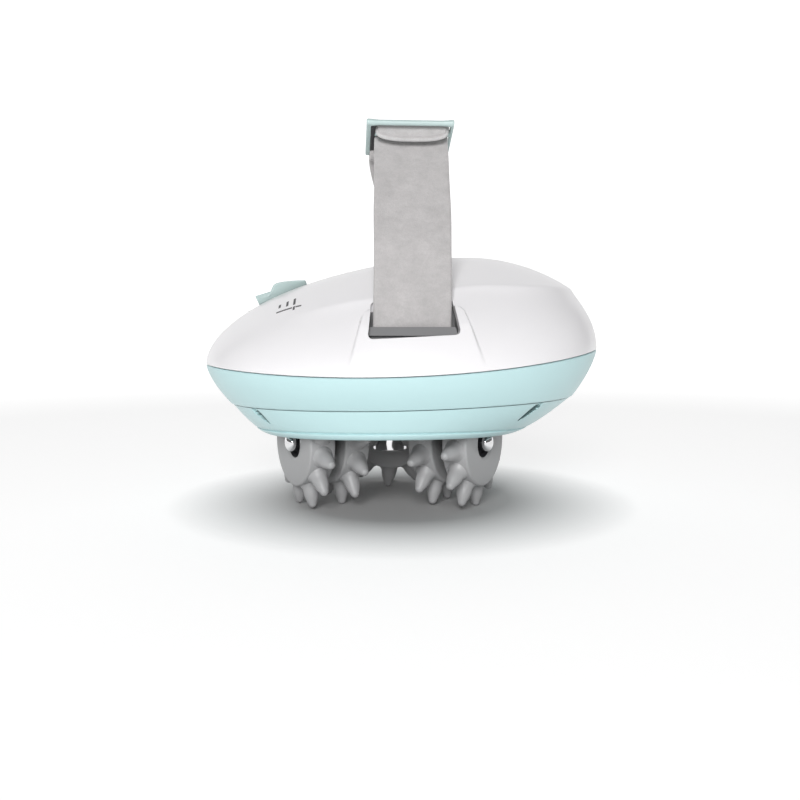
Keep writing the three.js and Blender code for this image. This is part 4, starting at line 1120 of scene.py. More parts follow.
@dataclass
class LowerShell:
    """The mint lower shell between the parting line and the crease."""

    form: BodyForm
    wall: float = 2.4
    height: float = 24.5
    seam: float = 0.3
    seam_inset: float = 0.4
    first_step: float = 0.012
    last_row: float = 0.56
    foot_inset: float = 0.35
    inner_shares: tuple[float, ...] = (0.57, 0.4, 0.2)
    columns: int = 420
    rows: int = 28

    def build(self) -> bpy.types.Object:
        """Makes the shell.

        Returns:
            The dressed piece.
        """
        form, first = self.form, self.seam / self.height
        angle = np.linspace(0, 2 * np.pi, self.columns, endpoint=False)
        crease = form.crease(angle)
        reach = crease / form.crease_share
        rings = [form.waist(angle, first * reach, -self.seam_inset)]
        rings += [form.waist(angle, s * reach)
                  for s in np.linspace(first + self.first_step, self.last_row, self.rows)]
        rings.append(form.waist(angle, crease, -self.foot_inset))
        rings += [form.waist(angle, s * reach, -self.wall) for s in (*self.inner_shares, first)]
        shell = Maker.loft("lower_shell_skin", np.array(rings), True, 30)
        return finished(shell, "root", "mint_shell", Finish.MINT_SHELL, stands_for=["lower_shell"])


@dataclass
class BaseRing:
    """The mint ring that flares in from the crease to the beaded lip round the rollers."""

    form: BodyForm
    cavity: float = 46.35
    cavity_edge: float = 0.4
    skirt: float = 2.0
    skirt_top: float = 54.5
    skirt_foot: float = 3.2
    wall: float = 2.2
    wall_lift: float = 0.6
    wall_shares: tuple[float, ...] = (0.7, 0.4, 0.1)
    seam_inset: float = 0.35
    seam_drop: float = 0.3
    bead: float = 1.1
    bead_proud: float = 0.4
    groove_gap: float = 0.2
    groove_width: float = 0.28
    groove_depth: float = 0.6
    notches: tuple[float, ...] = (215.0, 145.0, -47.0, 47.0)
    notch_half: float = 2.5
    notch_span: tuple[float, float] = (0.01, 0.36)
    notch_ends: tuple[float, float] = (0.05, 0.24)
    notch_shift: float = 1.4
    notch_slants: tuple[float, float] = (9.0, 2.5)
    notch_depth: float = 2.1
    notch_shade_depth: float = 1.1
    columns: int = 560

    def build(self) -> bpy.types.Object:
        """Makes the ring.

        Returns:
            The dressed piece, the deep part of its notches painted darker as shade in a second material.
        """
        angle = spread_angles(self.columns, 5, self.notches, 8)
        shares = np.concatenate([[0.0], np.linspace(0.012, 0.48, 36), np.linspace(0.49, 1.0, 46)])
        outside = rings_of(self._flare, angle, shares)
        outside[0] = self.form.ring(angle, np.zeros_like(angle), -self.seam_inset)
        outside[0][:, 2] -= self.seam_drop
        ring = Maker.loft("base_ring_skin", np.array(outside + self._cavity(angle)), True, 30)
        finished(ring, "root", "mint_shell", Finish.MINT_SHELL, Finish.NOTCH_PAINTED_SHADE, stands_for=["base_ring"])
        # Painted shade: the faces deep in each notch get the darker material.
        deep = np.array(rings_of(self._notch, angle, shares)) > self.notch_shade_depth
        for face, dark in zip(ring.data.polygons, deep.ravel()):
            face.material_index = int(dark)
        return ring

    def _flare(self, angle: Points, share: Points) -> Points:
        """The ring's flare with the bead along its lip, the groove over it and the notches.

        Args:
            angle: angles about Z, in radians.
            share: 0 at the crease, 1 at the lip.

        Returns:
            The points.
        """
        high = self.form.ring(angle, share)[..., 2] - self.form.lip(angle)
        bead = self.bead_proud * np.sqrt(np.maximum(1 - (high / self.bead - 1) ** 2, 0))
        beyond = (high - 2 * self.bead - self.groove_gap) / self.groove_width
        groove = self.groove_depth * np.exp(-beyond ** 2)
        return self.form.ring(angle, share, bead - groove - self._notch(angle, share))

    def _notch(self, angle: Points, share: Points) -> Points:
        """How deep the slanted notches at the corners are.

        Args:
            angle: angles about Z, in radians.
            share: 0 at the crease, 1 at the lip.

        Returns:
            Millimetres inward.
        """
        (start, stop), (opening, closing) = self.notch_span, self.notch_ends
        wide = self.notch_half * np.sqrt(np.clip((share - start) / opening, 0, 1))
        wide = wide * np.clip((stop - share) / closing, 0, 1) ** 0.7
        depth = np.zeros_like(share)
        for centre in self.notches:
            turn = math.radians(centre)
            away = (np.degrees(angle) - centre + 180) % 360 - 180
            side = -away * math.copysign(1, math.sin(turn) * math.cos(turn))
            slant = self.notch_slants[math.cos(turn) > 0]
            across = (side - self.notch_shift + share * slant) / np.maximum(wide, 1e-3)
            steep, gentle = smooth_step(-1, -0.85, -across), smooth_step(-1, 0.75, across)
            depth = np.maximum(depth, np.where(across > 0, steep, gentle) * (wide > 0.2) * self.notch_depth)
        return depth

    def _circle(self, angle: Points, radius: float, height: Points) -> Points:
        """A level circle about the cavity's middle."""
        x = self.form.cavity_x + radius * np.cos(angle)
        return np.stack([x, radius * np.sin(angle), np.broadcast_to(height, angle.shape)], -1)

    def _cavity(self, angle: Points) -> list[Points]:
        """The cavity's wall, the skirt's top and the ring's inside.

        Args:
            angle: angles about Z, in radians.

        Returns:
            The rings, from the lip back to the crease.
        """
        lip, inner, outer = self.form.lip(angle), self.cavity, self.cavity + self.skirt
        levels = ((inner + self.cavity_edge, lip), (inner, lip + self.cavity_edge), (inner, self.skirt_top),
                  (outer, self.skirt_top), (outer, lip + self.skirt_foot))
        walls = [self._circle(angle, radius, height) for radius, height in levels]
        inside = rings_of(self.form.ring, angle, self.wall_shares, -self.wall)
        return walls + [ring + [0, 0, self.wall_lift] for ring in inside]


@dataclass
class HandStrap:
    """The two velour bands, the peeling tab, the buckle and the slots' liners."""

    form: BodyForm
    width: float = 26.9
    front_growth: float = 0.4
    front_grows: tuple[float, float] = (78.0, 112.0)
    rear_width: float = 24.8
    rear_middle: tuple[float, float] = (2.7, 0.7)
    rear_widens: tuple[float, float] = (119.0, 134.0)
    thick: float = 1.8
    lean: float = 2.8
    pin_y: float = 43.2
    pin_z: float = 63.1
    pin_radius: float = 1.5
    seat: float = 0.3
    loop_top: float = 143.8
    approach: float = 55.0
    start_bulge: float = 2.5
    pull_share: float = 0.35
    bars: tuple = ((-16.5, 142.5), (-10.392, 140.277), (2.294, 135.66))
    bar_places: tuple[float, ...] = (0.0, 6.5, 20.0)
    bar_radius: float = 1.3
    bar_waist: float = 0.28
    slope: float = 20.0
    left_rail: tuple[float, float] = (-17.0, -15.3)
    right_rail: tuple[float, float] = (14.1, 15.2)
    rail_span: tuple[float, float] = (-1.3, 21.3)
    rail_edge: float = 0.45
    # The dark strip on the left rail's inner side paints the shade in the gap between rail and strap.
    pad_face: tuple[float, float] = (-15.4, -13.8)
    pad_span: tuple[float, float] = (0.9, 19.0)
    pad_half: float = 1.35
    tab_length: float = 4.2
    tab_top: float = 2.5
    tab_steps: tuple = ((-0.5, 0.45), (-0.62, 0.2), (-0.45, 0.0), (0.0, 0.0), (0.25, 0.3), (0.35, 0.75),
                        (0.5, 1.0), (0.9, 1.3))
    welded_highlight_steps: int = 5
    tab_bend: tuple[float, float] = (1.2, -0.6)
    liner_wall: float = 1.2
    liner_floor: float = 59.15
    liner_top: float = 92.0
    liner_half: float = 15.6
    liner_back: float = 39.2
    liner_round: float = 1.4
    liner_below: float = -2.75
    sill_half: float = 15.0
    sill_taper: float = 0.4
    sill_foot: float = 65.1
    sill_top: float = 68.0
    sill_back: float = 47.15
    sill_below: float = -0.9

    def build(self) -> list[bpy.types.Object]:
        """Makes every piece of the strap.

        Returns:
            The dressed pieces.
        """
        made = [self._band("front_band", self._front_path(), "front_strap"),
                self._band("rear_band", self._rear_path(), "rear_strap")]
        return made + [self._tab(), self._buckle(), self._painted_shade_strip(), self._liner(-1), self._liner(1)]

    def _leaned(self, z: float) -> float:
        """How far the strap leans sideways at a height."""
        return self.lean * (z - self.pin_z) / (self.loop_top - self.pin_z)

    def _spread(self, z: float, rear: bool) -> tuple[float, float]:
        """A band's middle and half width at a height.

        Args:
            z: the height.
            rear: whether it is the rear band, which narrows under the buckle.

        Returns:
            The middle and the half width, along X.
        """
        if not rear:
            grown = self.front_growth * float(smooth_step(*self.front_grows, np.array(z)))
            return self._leaned(z), self.width / 2 + grown
        rise = float(smooth_step(*self.rear_widens, np.array(z)))
        low, high = self.rear_middle
        return low + (high - low) * rise, (self.rear_width + (self.width - self.rear_width) * rise) / 2

    def _rise(self, side: int, end: tuple[float, float]) -> Points:
        """The strap's curve from its pin to the buckle.

        Args:
            side: -1 for the front band, 1 for the rear band.
            end: where it meets its bar, as (y, z).

        Returns:
            The curve's (y, z) points.
        """
        reach = self.pin_radius + self.seat + self.thick / 2
        pull = (self.loop_top - self.pin_z) * self.pull_share
        level, steep = math.cos(math.radians(self.approach)), math.sin(math.radians(self.approach))
        start = np.array([side * (self.pin_y + reach), self.pin_z])
        stop = np.array(end)
        first = start + [-side * self.start_bulge, pull]
        second = stop + [side * pull * level, -pull * steep]
        t = np.linspace(0, 1, 90)[:, None]
        return (start * (1 - t) ** 3 + 3 * first * t * (1 - t) ** 2
                + 3 * second * t ** 2 * (1 - t) + stop * t ** 3)

    def _arc(self, centre: tuple[float, float], radius: float, turn: tuple[float, float],
             steps: int) -> Points:
        """The strap's middle line round a bar or pin.

        Args:
            centre: the bar's middle, as (y, z).
            radius: the bar's radius.
            turn: the first and the last angle, in degrees.
            steps: how many points.

        Returns:
            The (y, z) points.
        """
        reach = radius + self.seat + self.thick / 2
        angle = np.radians(np.linspace(*turn, steps))
        return np.column_stack([centre[0] + reach * np.cos(angle), centre[1] + reach * np.sin(angle)])

    def _front_path(self) -> Points:
        """The front band's path, from its sewn eye to the fold over the middle bar.

        Returns:
            The path's (y, z) points.
        """
        over = self._arc(self.bars[1], self.bar_radius, (self.approach - 90, 186), 36)
        eye = self._arc((-self.pin_y, self.pin_z), self.pin_radius, (466, 180), 26)
        return np.vstack([eye[:-1], self._rise(-1, tuple(over[0]))[:-1], over])

    def _rear_path(self) -> Points:
        """The rear band's path, from its sewn eye round the rear bar to its other eye.

        Returns:
            The path's (y, z) points.
        """
        over = self._arc(self.bars[2], self.bar_radius, (90 - self.approach, 320), 40)
        eye = self._arc((self.pin_y, self.pin_z), self.pin_radius, (-286, 0), 26)
        return np.vstack([eye[:-1], self._rise(1, tuple(over[0]))[:-1], over])

    def _section(self) -> Points:
        """The band's cross-section with its round rims.

        Returns:
            Pairs of a place across the band and a height over its middle.
        """
        half, thick = self.width / 2, self.thick / 2
        across = np.linspace(-half + thick, half - thick, 30)
        rim = np.linspace(-np.pi / 2, np.pi / 2, 8)[1:-1]
        section = [(x, thick) for x in across]
        section += [(half - thick + thick * math.cos(t), -thick * math.sin(t)) for t in rim]
        section += [(x, -thick) for x in across[::-1]]
        section += [(-half + thick - thick * math.cos(t), thick * math.sin(t)) for t in rim]
        return np.array(section)

    def _band(self, name: str, path: Points, node: str) -> bpy.types.Object:
        """Makes one band as a thin closed sheet along its path, faintly wavy and thicker at its rims.

        Args:
            name: the piece's name.
            path: its middle line, as (y, z) points.
            node: the CAD node that it replaces.

        Returns:
            The dressed piece.
        """
        ahead = np.gradient(path, axis=0)
        ahead /= np.linalg.norm(ahead, axis=1, keepdims=True)
        normal = np.column_stack([-ahead[:, 1], ahead[:, 0]])
        length = np.concatenate([[0], np.cumsum(np.linalg.norm(np.diff(path, axis=0), axis=1))])
        rear, half, thick = node == "rear_strap", self.width / 2, self.thick / 2
        across, height = self._section().T
        rolled = 1 + 0.10 * np.exp(-((half - np.abs(across)) / 1.6) ** 2)
        rings = []
        for place, way, run in zip(path, normal, length):
            wave = 0.07 * np.sin(run * 0.31 + across * 0.2) + 0.05 * np.sin(run * 0.83 - across * 0.45)
            middle, reach = self._spread(place[1], rear)
            side = middle + across * (reach / half) * (1 + 0.0035 * math.sin(run * 0.23))
            high = height * rolled * 0.94 + wave * np.abs(height) / thick * 0.6
            rings.append(np.column_stack([side, place[0] + way[0] * high, place[1] + way[1] * high]))
        band = Maker.loft(name, np.array(rings), False, 60)
        finished(band, "root", "velour", Finish.VELOUR, stands_for=[node])
        widths = [2 * self._spread(place[1], rear)[1] for place in path]
        max(widths) * MM
        return band

    def _tab(self) -> bpy.types.Object:
        """Makes the stiff half-round tab with its welded rim, set at its fold.

        Returns:
            The dressed piece.
        """
        half, seam = self.width / 2, 0.6
        turn = np.linspace(0, np.pi, 41)
        lower = np.column_stack([half * np.sign(np.cos(turn)) * np.abs(np.cos(turn)) ** 0.72,
                                 -seam - (self.tab_length - seam) * np.sin(turn) ** 0.9])
        outline = np.vstack([lower[::-1], [[half, self.tab_top], [0, self.tab_top], [-half, self.tab_top]]])
        low, high = min(s[0] for s in self.tab_steps), self.tab_steps[-1][0]
        rings = []
        for height, way in self.tab_steps:
            level = np.full(len(outline), (height - low) / (high - low) * self.thick - self.thick / 2)
            rings.append(np.column_stack([inset(outline, way), level]))
        tab = Maker.loft("strap_tab_plate", np.array(rings), False, 50)
        fold = (self.bars[1][0] - self.bar_radius - self.seat - self.thick / 2, self.bars[1][1])
        drop = Matrix.Translation((0, -self.seat, self.thick / 2))
        turned = Matrix.Rotation(math.radians(90 - self.slope), 4, "X")
        Maker.moved(tab, Matrix.Translation((0, *fold)) @ turned @ drop)
        for vertex in tab.data.vertices:
            vertex.co.x += self.lean * MM * (vertex.co.z / MM - self.pin_z) / (self.loop_top - self.pin_z)
        finished(tab, "", "velour", Finish.VELOUR, Finish.WELDED_EDGE_HIGHLIGHT, stands_for=["strap_tab"])
        # The welded rim gets the second material, whose lighter colour is partly a painted highlight along
        # the edge.
        for face in tab.data.polygons:
            face.material_index = int(face.index < self.welded_highlight_steps * len(outline))
        start, end = (tuple(v * MM for v in (self._leaned(fold[1]), fold[0], fold[1] + reach))
                      for reach in self.tab_bend)
        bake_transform(tab)
        return tab

    def _buckle(self) -> bpy.types.Object:
        """Makes the buckle: two rounded rails joined by three round bars, the first one waisted.

        Returns:
            The dressed piece.
        """
        parts = [self._rail(*self.left_rail), self._rail(*self.right_rail)]
        middle = (self.left_rail[1] + self.right_rail[0]) / 2
        reach = (self.right_rail[0] - self.left_rail[1]) / 2 + 0.9
        radius, waist = self.bar_radius * 0.985, self.bar_waist
        for index, along in enumerate(self.bar_places):
            steps = [] if index else [(radius, reach - 1.0), (radius - waist * 0.5, reach - 2.2),
                                      (radius - waist, reach - 4)]
            profile = [(radius, -reach), *((r, -x) for r, x in steps), *steps[::-1], (radius, reach)]
            bar = Maker.lathe(f"buckle_bar_{index}", profile, 40)
            parts.append(Maker.moved(bar, Matrix.Translation((middle, along, 0)) @ LYING))
        frame = parts[0]
        frame.name = "strap_buckle_frame"
        Maker.combined(frame, parts[1:], "UNION", 32)
        Maker.moved(frame, self._buckle_place())
        return finished(frame, "root", "mint_buckle", Finish.MINT_FITTING, stands_for=["strap_buckle"])

    def _painted_shade_strip(self) -> bpy.types.Object:
        """Makes a dark strip on the left rail's inner side, painted shade in the gap beside the strap.

        Returns:
            The dressed piece.
        """
        (start, stop), half = self.pad_span, self.pad_half
        outline = rectangle((start, -half), (stop, half), 0.8)
        pad = Maker.prism("buckle_painted_shade_strip", outline, *self.pad_face, 0.25)
        Maker.moved(Maker.moved(pad, ON_SIDE), self._buckle_place())
        return finished(pad, "root", "black_plastic", Finish.BLACK_PLASTIC)

    def _buckle_place(self) -> Matrix:
        """The place of the buckle, with Y along its rails."""
        place = Matrix.Translation((self._leaned(self.loop_top - self.bar_radius), *self.bars[0]))
        return place @ Matrix.Rotation(math.radians(-self.slope), 4, "X")

    def _rail(self, low: float, high: float) -> bpy.types.Object:
        """Makes one side rail of the buckle, its ends rounded.

        Args:
            low: its left side, across the strap.
            high: its right side.

        Returns:
            The rail, with Y along it.
        """
        r = self.bar_radius
        start, stop = self.rail_span[0] + r, self.rail_span[1] - r
        turn = np.linspace(-np.pi / 2, np.pi / 2, 13)
        outline = [(stop + r * math.cos(t), r * math.sin(t)) for t in turn]
        outline += [(start - r * math.cos(t), -r * math.sin(t)) for t in turn]
        return Maker.moved(Maker.prism("buckle_rail", np.array(outline), low, high, self.rail_edge), ON_SIDE)

    def _liner(self, side: int) -> bpy.types.Object:
        """Makes a slot's grey tray, open outwards, with a sill before the strap's foot.

        Args:
            side: -1 for the front, 1 for the rear.

        Returns:
            The dressed piece.
        """
        half, floor, wall, top = self.liner_half, self.liner_floor, self.liner_wall, self.liner_top
        inner = rectangle((-half, floor), (half, top), self.liner_round)
        outer = rectangle((-half - wall, floor - wall), (half + wall, top), self.liner_round)
        tray = Maker.prism("liner_tray", outer, self.liner_back - wall, 60)
        hollow = Maker.prism("liner_hollow", inner, self.liner_back, 62)
        for part in (tray, hollow):
            Maker.moved(part, standing(side))
        Maker.combined(tray, [hollow], "DIFFERENCE")
        Maker.combined(tray, [self._under_dome(self.liner_below)], "INTERSECT")
        low = self._sill(side, floor - 0.6, self.sill_top - 1.2, self.liner_below)
        high = self._sill(side, self.sill_foot, self.sill_top, self.sill_below)
        Maker.combined(tray, [low, high], "UNION")
        which = "front" if side < 0 else "rear"
        tray.name = f"{which}_liner_tray"
        return finished(tray, "root", "grey_liner", Finish.SLOT_LINER, stands_for=[f"{which}_slot_liner"])

    def _sill(self, side: int, foot: float, head: float, offset: float) -> bpy.types.Object:
        """Makes one part of the sill that stands before the strap's foot.

        Args:
            side: -1 for the front, 1 for the rear.
            foot: its lower height.
            head: its upper height.
            offset: how far outside the plain dome it reaches.

        Returns:
            The body.
        """
        half, narrow = self.sill_half, self.sill_half - self.sill_taper
        outline = rounded_polygon([(-half, foot), (half, foot), (narrow, head), (-narrow, head)], 0.45)
        sill = Maker.moved(Maker.prism("liner_sill", outline, self.sill_back, 64), standing(side))
        return Maker.combined(sill, [self._under_dome(offset)], "INTERSECT")

    def _under_dome(self, offset: float) -> bpy.types.Object:
        """Makes the space under the upper shell's skin.

        Args:
            offset: how far outside the plain dome it reaches.

        Returns:
            The body.
        """
        angle = np.linspace(0, 2 * np.pi, 180, endpoint=False)
        rings = rings_of(self.form.dome, angle, np.sin(np.linspace(0.02, np.pi / 2, 30)), offset)
        return Maker.loft("under_dome", np.array(rings + [rings[-1] - [0, 0, 3]]), False)


@dataclass
class Controls:
    """The slide switch on the nose, its printed marks and the power inlet."""

    shell: UpperShell
    length: float = 20.0
    width: float = 8.0
    lip: float = 3.2
    low: float = 1.8
    high: float = 4.5
    tail: float = 1.3
    sink: float = 1.0
    seat: float = 0.3
    side_edge: float = 0.7
    inlet_z: float = 64.0
    inlet_radius: float = 4.2
    inlet_bore: float = 2.8
    inlet_depth: float = 8.6
    inlet_edge: float = 0.45
    inlet_pin: float = 0.8
    inlet_span: tuple[float, float] = (-74.0, -61.6)
    ink_span: tuple[float, float] = (0.05, -0.1)
    mark_half: float = 0.4
    mark_top: float = -23.4
    level_marks: tuple = ((-46.0, -25.8), (-43.2, -27.1), (-40.6, -28.2))
    level_rule: tuple = (((-46.9, -28.9), (-41.2, -30.3), (-41.2, -29.5), (-46.9, -28.1)),
                         ((-40.9, -31.8), (-40.2, -31.8), (-40.2, -29.5), (-40.9, -29.5)),
                         ((-40.0, -30.6), (-37.9, -31.3), (-37.9, -30.5), (-40.0, -29.8)))

    def build(self) -> list[bpy.types.Object]:
        """Makes the slider, the inlet and the marks.

        Returns:
            The dressed pieces.
        """
        return [self._slider(), self._inlet(), *self._marks()]

    def _profile(self) -> Points:
        """The slider's wave-shaped side.

        Returns:
            Its (x, z) points, counter-clockwise.
        """
        half, low, high = self.length / 2, self.low, self.high
        crest, hollow = (-half * 0.08, high), (-half * 0.55, low)
        points = [(-half, self.seat - self.sink), (half, self.seat - self.sink)]
        points += self._curve([(half, self.tail), (half * 0.2, high), crest], 16)
        points += self._curve([crest, (-half * 0.3, high), (-half * 0.35, low), hollow], 14)[1:]
        points += self._curve([hollow, (-half * 0.8, low), (-half, self.lip)], 10)[1:]
        return np.array(points)

    @staticmethod
    def _curve(knots: Sequence[tuple[float, float]], steps: int) -> list[tuple[float, float]]:
        """Points of a Bezier curve through its control points.

        Args:
            knots: the control points.
            steps: how many points.

        Returns:
            The points.
        """
        order = len(knots) - 1
        points = []
        for t in np.linspace(0, 1, steps):
            shares = [math.comb(order, i) * t ** i * (1 - t) ** (order - i) for i in range(order + 1)]
            points.append(tuple(sum(share * np.array(knot) for share, knot in zip(shares, knots))))
        return points

    def _slider(self) -> bpy.types.Object:
        """Makes the thumb slider, softened at its sides and undercut towards its foot.

        Returns:
            The dressed piece.
        """
        half = self.width / 2
        slider = Maker.prism("thumb_slider", self._profile(), -half, half, self.side_edge, 32)
        for vertex in slider.data.vertices:
            under = max(1 - vertex.co.y / MM / self.high, 0)
            vertex.co.z *= 1 - under * (0.2 + 0.38 * float(smooth_step(-4, 3, np.array(vertex.co.x / MM))))
        Maker.moved(slider, self.shell.window_matrix() @ standing(-1))
        return finished(slider, "slider", "mint_buckle", Finish.MINT_FITTING, stands_for=["switch_slider"])

    def _inlet(self) -> bpy.types.Object:
        """Makes the round power inlet with its socket and centre pin.

        Returns:
            The dressed piece.
        """
        (start, stop), edge = self.inlet_span, self.inlet_edge
        r, bore, pin, floor = self.inlet_radius, self.inlet_bore, self.inlet_pin, start + self.inlet_depth
        profile = [(0.45, start + 1.2), (pin, start + 1.6), (pin, floor), (bore, floor), (bore, start + 0.9),
                   (bore + 0.35, start + edge), (r - 0.4, start + edge), (r, start + 0.8), (r, stop)]
        inlet = Maker.lathe("power_inlet_barrel", profile, 48)
        Maker.moved(inlet, Matrix.Translation((0, 0, self.inlet_z)) @ LYING)
        Maker.combined(inlet, [self._nose()], "INTERSECT")
        return finished(inlet, "root", "black_plastic", Finish.BLACK_PLASTIC, stands_for=["power_inlet"])

    def _nose(self) -> bpy.types.Object:
        """Makes the space inside the shell's outer skin.

        Returns:
            The body.
        """
        angle = np.linspace(0, 2 * np.pi, 240, endpoint=False)
        rings = rings_of(self.shell.form.dome, angle, np.sin(np.linspace(0.02, np.pi / 2, 50)), -0.15)
        return Maker.loft("nose_space", np.array(rings), False)

    def _on_shell(self, plan: Points, proud: float) -> Points:
        """Points on the shell's skin over places of the plan.

        Args:
            plan: (x, y) places.
            proud: how far the points are pushed outward.

        Returns:
            The points.
        """
        form, (x, y) = self.shell.form, np.moveaxis(plan, -1, 0)
        angle, share = np.zeros_like(x), np.zeros_like(x)
        for _ in range(60):
            held = np.maximum(share, 1e-6)
            across = (x - form.crown_x * (1 - share)) / (form.half_length * held)
            up = y / (form.half_width * held)
            angle = np.arctan2(up, across)
            share = np.where(share == 0, 0.5, np.clip(share * np.hypot(across, up), 1e-4, 1))
        return form.skin(angle, share) + form.outward(angle, share) * proud

    def _mark(self, name: str, corners: Sequence[tuple[float, float]]) -> bpy.types.Object:
        """Makes one thin printed mark over a four-sided patch of the plan.

        Args:
            name: the piece's name.
            corners: the patch's corners, as (x, y).

        Returns:
            The dressed piece.
        """
        a, b, c, d = (np.array(p) for p in corners)
        steps = np.linspace(0, 1, 9)
        plan = np.array([[(a * (1 - u) + b * u) * (1 - v) + (d * (1 - u) + c * u) * v for u in steps]
                         for v in np.linspace(0, 1, 4)])
        rows, cols = plan.shape[:2]
        base, last = rows * cols, (rows - 1) * cols
        faces = []
        for r in range(rows - 1):
            for i in range(r * cols, (r + 1) * cols - 1):
                faces.append((i, i + 1, i + cols + 1, i + cols))
                faces.append((base + i, base + i + cols, base + i + cols + 1, base + i + 1))
        edge = [*range(cols), *range(2 * cols - 1, base, cols)]
        edge += [*range(base - 2, last - 1, -1), *range(last - cols, 0, -cols)]
        faces += [(i, base + i, base + j, j) for i, j in zip(edge, edge[1:] + edge[:1])]
        points = np.vstack([self._on_shell(plan, proud).reshape(-1, 3) for proud in self.ink_span])
        return finished(Maker.mesh(name, points, faces, 50), "root", "black_plastic", Finish.MARK_INK)

    def _marks(self) -> list[bpy.types.Object]:
        """Makes three growing level marks over a thin stepped line.

        Returns:
            The dressed pieces.
        """
        half, top = self.mark_half, self.mark_top
        bars = [((x - half, low), (x + half, low), (x + half, top), (x - half, top))
                for x, low in self.level_marks]
        return [self._mark(f"{name}_{index + 1}", corners)
                for name, patches in (("level_mark", bars), ("level_rule", self.level_rule))
                for index, corners in enumerate(patches)]


@dataclass
class RollerWheel:
    """One grey wheel with twelve blunt fingers and a hub recess painted dark as shade."""

    radius: float = 16.5
    width: float = 10.0
    edge: float = 0.85
    finger: float = 8.5
    foot: float = 3.6
    foot_taper: float = 0.55
    foot_height: float = 1.3
    tip: float = 1.6
    belly: float = 0.3
    fingers: int = 12
    recess: float = 5.6
    recess_depth: float = 3.5
    bore: float = 2.55

    def build(self) -> bpy.types.Object:
        """Makes a wheel along +X, its inner face at the origin and a finger straight down.

        Returns:
            The wheel, its recess painted dark as shade in a second material.
        """
        wheel = self._drum()
        fingers = [self._finger(180 + i * 360 / self.fingers) for i in range(self.fingers)]
        Maker.combined(wheel, [Maker.joined(fingers)], "UNION", 34)
        wheel.data.materials.append(PALETTE(Finish.WHEEL_GREY))
        wheel.data.materials.append(PALETTE(Finish.RECESS_PAINTED_SHADE))
        # Painted shade: the recess faces get the dark material.
        for face in wheel.data.polygons:
            spot = face.center / MM
            in_recess = math.hypot(spot.y, spot.z) < self.recess + 0.4 and spot.x < self.width - 0.55
            face.material_index = int(in_recess)
        return wheel

    def _drum(self) -> bpy.types.Object:
        """Makes the wheel's drum with its bore and recess.

        Returns:
            The drum, lying along X.
        """
        edge, outer, bore, recess = self.edge, self.width, self.bore, self.recess
        turns = np.linspace(0, np.pi / 2, 6)
        rim, lip, floor = self.radius - edge, recess + 0.7, outer - self.recess_depth
        profile = [(bore, 0.3), (bore + 0.3, 0.0)]
        profile += [(rim + edge * math.sin(t), edge - edge * math.cos(t)) for t in turns]
        profile += [(rim + edge * math.cos(t), outer - edge + edge * math.sin(t)) for t in turns]
        profile += [(lip + 0.9, outer), (lip, outer - 0.25), (recess + 0.15, outer - 0.7),
                    (recess, outer - 1.2), (recess - 0.15, floor + 0.3), (recess - 0.45, floor),
                    (bore, floor)]
        return Maker.moved(Maker.lathe("wheel_drum", profile, 120, True, 32), LYING)

    def _finger(self, angle: float) -> bpy.types.Object:
        """Makes one finger: a foot that flares into the rim, a taper and a round tip.

        Args:
            angle: how far it is turned about the axle, in degrees.

        Returns:
            The finger.
        """
        rim, foot, tip = self.radius, self.foot, self.tip
        neck, start, stop = foot - self.foot_taper, rim + self.foot_height, rim + self.finger - tip
        profile = [(foot + 0.9, rim - 1.6), (foot + 0.55, rim - 0.35), (foot + 0.05, rim + 0.35),
                   (neck, start)]
        for share in (0.25, 0.5, 0.75, 1.0):
            r = neck * (1 - share) + (tip + 0.06) * share + self.belly * math.sin(math.pi * share)
            profile.append((r, start + (stop - start) * share))
        profile += [(tip * math.cos(t), stop + tip * math.sin(t))
                    for t in np.linspace(0.2, np.pi / 2 - 0.08, 7)]
        middle = Matrix.Translation((self.width / 2, 0, 0))
        turned = middle @ Matrix.Rotation(math.radians(angle), 4, "X")
        return Maker.moved(Maker.lathe("finger", profile, 26, False, 50), turned)


